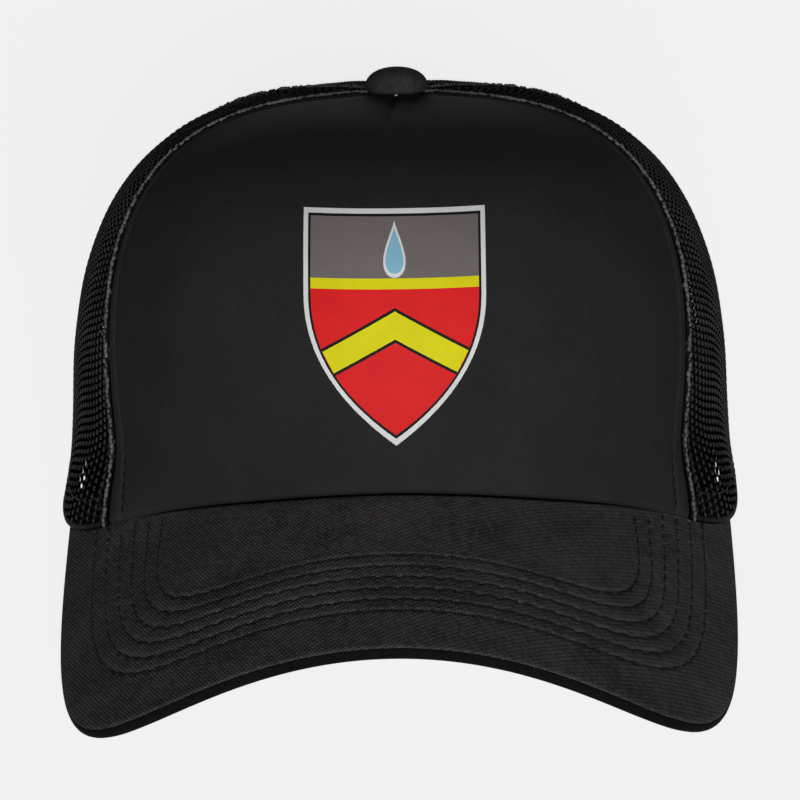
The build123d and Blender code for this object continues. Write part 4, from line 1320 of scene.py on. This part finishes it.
# The emblem: thin layers of film on the front panel, in the outline of a shield
INK = {
    "white": (0.93, 0.93, 0.93),
    "black": (0.012, 0.012, 0.012),
    "red": (0.93, 0.022, 0.024),
    "yellow": (0.93, 0.86, 0.01),
    "grey": (0.21, 0.185, 0.18),
    "light blue": (0.30, 0.62, 0.80),
}
inks = {name: film_material(name + " film", colour) for name, colour in INK.items()}
FILM_STEP, FILM_SINK, CUT_PITCH = 0.05, 0.16, 2.0
BORDER_LINE, FIELD_MARGIN, CHEVRON_LINE = 1.1, 1.7, 0.8
CHIEF_FOOT, BAR_FOOT = 12.0, 9.6
CHEVRON_TOP, CHEVRON_ARM, CHEVRON_SLOPE = 4.6, 6.4, 0.55


def shield(margin):
    """The shield's outline, moved inward by a margin."""
    half, top = EMBLEM_WIDTH / 2 - margin, EMBLEM_HEIGHT / 2 - margin
    shoulder, point = EMBLEM_HEIGHT / 2 - EMBLEM_SHOULDER, -EMBLEM_HEIGHT / 2 + 1.5 * margin
    knee = shoulder - EMBLEM_SHOULDER + 0.3 * margin
    curve = []
    for share in spread(0, 1, 16):
        near = 1 - share
        x = near * near * half + 2 * near * share * half
        z = near * near * shoulder + 2 * near * share * knee + share * share * point
        curve.append((x, z))
    left = [(-x, z) for x, z in reversed(curve[:-1])]
    return [(-half, top), (half, top)] + curve + left


def field_end(height, margin):
    """Where a line that falls to each side from this height meets the shield's outline."""
    outline = [(x, z) for x, z in shield(margin)[2:] if x >= 0]
    outline.insert(0, (outline[0][0], EMBLEM_HEIGHT))

    def within(x):
        z = height - CHEVRON_SLOPE * x
        a, b = next((a, b) for a, b in zip(outline, outline[1:]) if a[1] >= z >= b[1])
        return x < a[0] + (b[0] - a[0]) * (a[1] - z) / (a[1] - b[1])

    x = last_before(0.0, EMBLEM_WIDTH / 2, within, 30)
    return x, height - CHEVRON_SLOPE * x


def chevron(top, arm, margin):
    """A band bent upward in the middle that ends at the shield's outline."""
    x, z = field_end(top, margin)
    lower_x, lower_z = field_end(top - arm, margin)
    return [(0, top), (x, z), (lower_x, lower_z), (0, top - arm), (-lower_x, lower_z), (-x, z)]


def bar(top, foot):
    """A level band across the shield's field."""
    half = EMBLEM_WIDTH / 2 - FIELD_MARGIN
    return [(-half, top), (half, top), (half, foot), (-half, foot)]


def drop_outline(size, middle):
    points = []
    for turn in spread(0, 345, 24):
        x = size * 0.62 * sind(turn) * sind(turn / 2) ** 1.6
        points.append((x, middle + size * cosd(turn)))
    return points


def film(name, outline, layer, ink, thickness=FILM_STEP):
    """One layer of film, laid on the front panel's cloth."""
    bm = bmesh.new()
    face = bm.faces.new([bm.verts.new((x, 0, z)) for x, z in outline])
    bm.normal_update()
    bmesh.ops.triangulate(bm, faces=[face])
    for axis, reach in ((Vector((1, 0, 0)), EMBLEM_WIDTH / 2), (Vector((0, 0, 1)), EMBLEM_HEIGHT / 2)):
        steps = int(reach / CUT_PITCH)
        for step in range(-steps, steps + 1):
            geom, middle = bm.verts[:] + bm.edges[:] + bm.faces[:], axis * step * CUT_PITCH
            bmesh.ops.bisect_plane(bm, geom=geom, dist=0.0001, plane_co=middle, plane_no=axis)
    lay_cloth(bm, lambda vert: (vert.co.x, vert.co.z))
    bm.normal_update()
    if sum(face.normal.y * face.calc_area() for face in bm.faces) > 0:
        turn_over(bm)
    bmesh.ops.solidify(bm, geom=bm.faces[:], thickness=thickness)
    base = min(vert.co.y for vert in bm.verts)
    depth = FILM_SINK - PLY_GAP - EMBLEM_FILM - FILM_STEP * layer
    for vert in bm.verts:
        vert.co = face_point(vert.co.x, EMBLEM_MIDDLE + vert.co.z, depth + vert.co.y - base)
    replaced = ("front_emblem",) if layer == 0 else ()
    piece("emblem_" + name, bm, inks[ink], replaced=replaced)


film("border", shield(0), 0, "white", 0.12)
film("line", shield(BORDER_LINE), 1, "black")
film("field", shield(FIELD_MARGIN), 2, "red")
film("chief", bar(EMBLEM_HEIGHT / 2 - FIELD_MARGIN, CHIEF_FOOT), 3, "grey")
film("chief_line", bar(CHIEF_FOOT, BAR_FOOT), 3, "yellow")
film("drop_line", drop_outline(6.2, 18.3), 4, "white")
film("drop", drop_outline(5.0, 18.0), 5, "light blue")
outer = chevron(CHEVRON_TOP + CHEVRON_LINE, CHEVRON_ARM + 2 * CHEVRON_LINE, FIELD_MARGIN)
film("chevron_line", outer, 3, "black")
film("chevron", chevron(CHEVRON_TOP, CHEVRON_ARM, FIELD_MARGIN + 0.05), 4, "yellow")

# Stage, lights and camera
FLOOR_SHADE, FLOOR_GLOW = 0.8, 0.81
FRONT_LIGHT, FRONT_ABOVE, FRONT_ASIDE = 2.7, 5.0, 3.0
BACK_LIGHT, BACK_ABOVE, BACK_ASIDE = 0.5, 2.0, 183.0
LIGHT_SPREAD = 22.0
WORLD_LIGHT, WORLD_SEEN = 0.5, 0.888


def seen_rays(tree):
    """1 where the camera or a gloss sees the surface itself, and 0 where it only sheds light."""
    paths = node(tree, "LightPath").outputs
    return math(tree, "MAXIMUM", paths["Is Camera Ray"], paths["Is Glossy Ray"])


def pale_floor():
    """A pale floor under the resting cap."""
    bm = bmesh.new()
    bmesh.ops.create_grid(bm, x_segments=1, y_segments=1, size=4.0)
    bmesh.ops.translate(bm, vec=(0, 0, cad_box[0][2]), verts=bm.verts)
    floor = add_object("floor", to_mesh("floor", bm))
    colour = grey(FLOOR_SHADE)
    made, tree, shader, _ = new_material("pale floor", 1.0, Specular_IOR_Level=0.0, Base_Color=colour)
    glow = node(tree, "Emission", Color=grey(1), Strength=FLOOR_GLOW)
    both = node(tree, "AddShader", i0=shader.outputs[0], i1=glow.outputs[0])
    mixed = node(tree, "MixShader", i0=seen_rays(tree), i1=shader.outputs[0], i2=both.outputs[0])
    tree.links.new(mixed.outputs[0], tree.nodes["Material Output"].inputs["Surface"])
    floor.data.materials.append(made)


def add_light(name, strength, above, aside):
    """A distant soft light, this many degrees above the floor and to the side of the front."""
    lamp = add_object(name, bpy.data.lights.new(name, "SUN"))
    lamp.data.energy, lamp.data.angle = strength, radians(LIGHT_SPREAD)
    lamp.rotation_euler = (radians(90 - above), 0, radians(aside))


def studio_world():
    """A pale surround, whose light comes from low down and mostly from the front, as from a wide screen."""
    world = bpy.data.worlds.new("studio")
    bpy.context.scene.world = world
    world.use_nodes = True
    tree = world.node_tree
    calc = partial(math, tree)
    seen = seen_rays(tree)
    way = node(tree, "SeparateXYZ", Vector=node(tree, "TexCoord").outputs["Generated"]).outputs
    low = calc("POWER", calc("SUBTRACT", 1.0, calc("ABSOLUTE", way[2])), 3.0)
    ahead = calc("MULTIPLY_ADD", way[1], -0.4, 0.6)
    screen = calc("MULTIPLY", calc("MULTIPLY", low, ahead), WORLD_LIGHT)
    unseen = calc("MULTIPLY", calc("SUBTRACT", 1.0, seen), screen)
    level = calc("MULTIPLY_ADD", seen, WORLD_SEEN, unseen)
    tree.links.new(level, tree.nodes["Background"].inputs["Strength"])


pale_floor()
add_light("front light", FRONT_LIGHT, FRONT_ABOVE, FRONT_ASIDE)
add_light("back light", BACK_LIGHT, BACK_ABOVE, BACK_ASIDE)
studio_world()

# The camera looks at the visor from straight in front and a little above
CAMERA_ABOVE, CAMERA_ASIDE, CAMERA_ROLL = 12.0, -0.61, -0.75
CAMERA_DISTANCE, CAMERA_LENS, CAMERA_SENSOR, CAMERA_FAR = 910.65, 162.36, 36, 20
CAMERA_TARGET = Vector((0.32, -40.0, 28.04))
level = cosd(CAMERA_ABOVE)
forward = Vector((sind(CAMERA_ASIDE) * level, cosd(CAMERA_ASIDE) * level, -sind(CAMERA_ABOVE)))
right = forward.cross(Vector((0, 0, 1))).normalized()
up = right.cross(forward)
tilt_cos, tilt_sin = cosd(CAMERA_ROLL), sind(CAMERA_ROLL)
right, up = right * tilt_cos + up * tilt_sin, up * tilt_cos - right * tilt_sin
facing = Matrix((right, up, -forward)).transposed().to_4x4()
camera = add_object("camera", bpy.data.cameras.new("camera"))
camera.data.lens, camera.data.sensor_width, camera.data.clip_end = CAMERA_LENS, CAMERA_SENSOR, CAMERA_FAR
spot = place_mm @ (CAMERA_TARGET - forward * CAMERA_DISTANCE)
camera.matrix_world = Matrix.Translation(spot) @ head_to_row @ facing
bpy.context.scene.camera = camera
bpy.context.scene.view_settings.view_transform = "Standard"
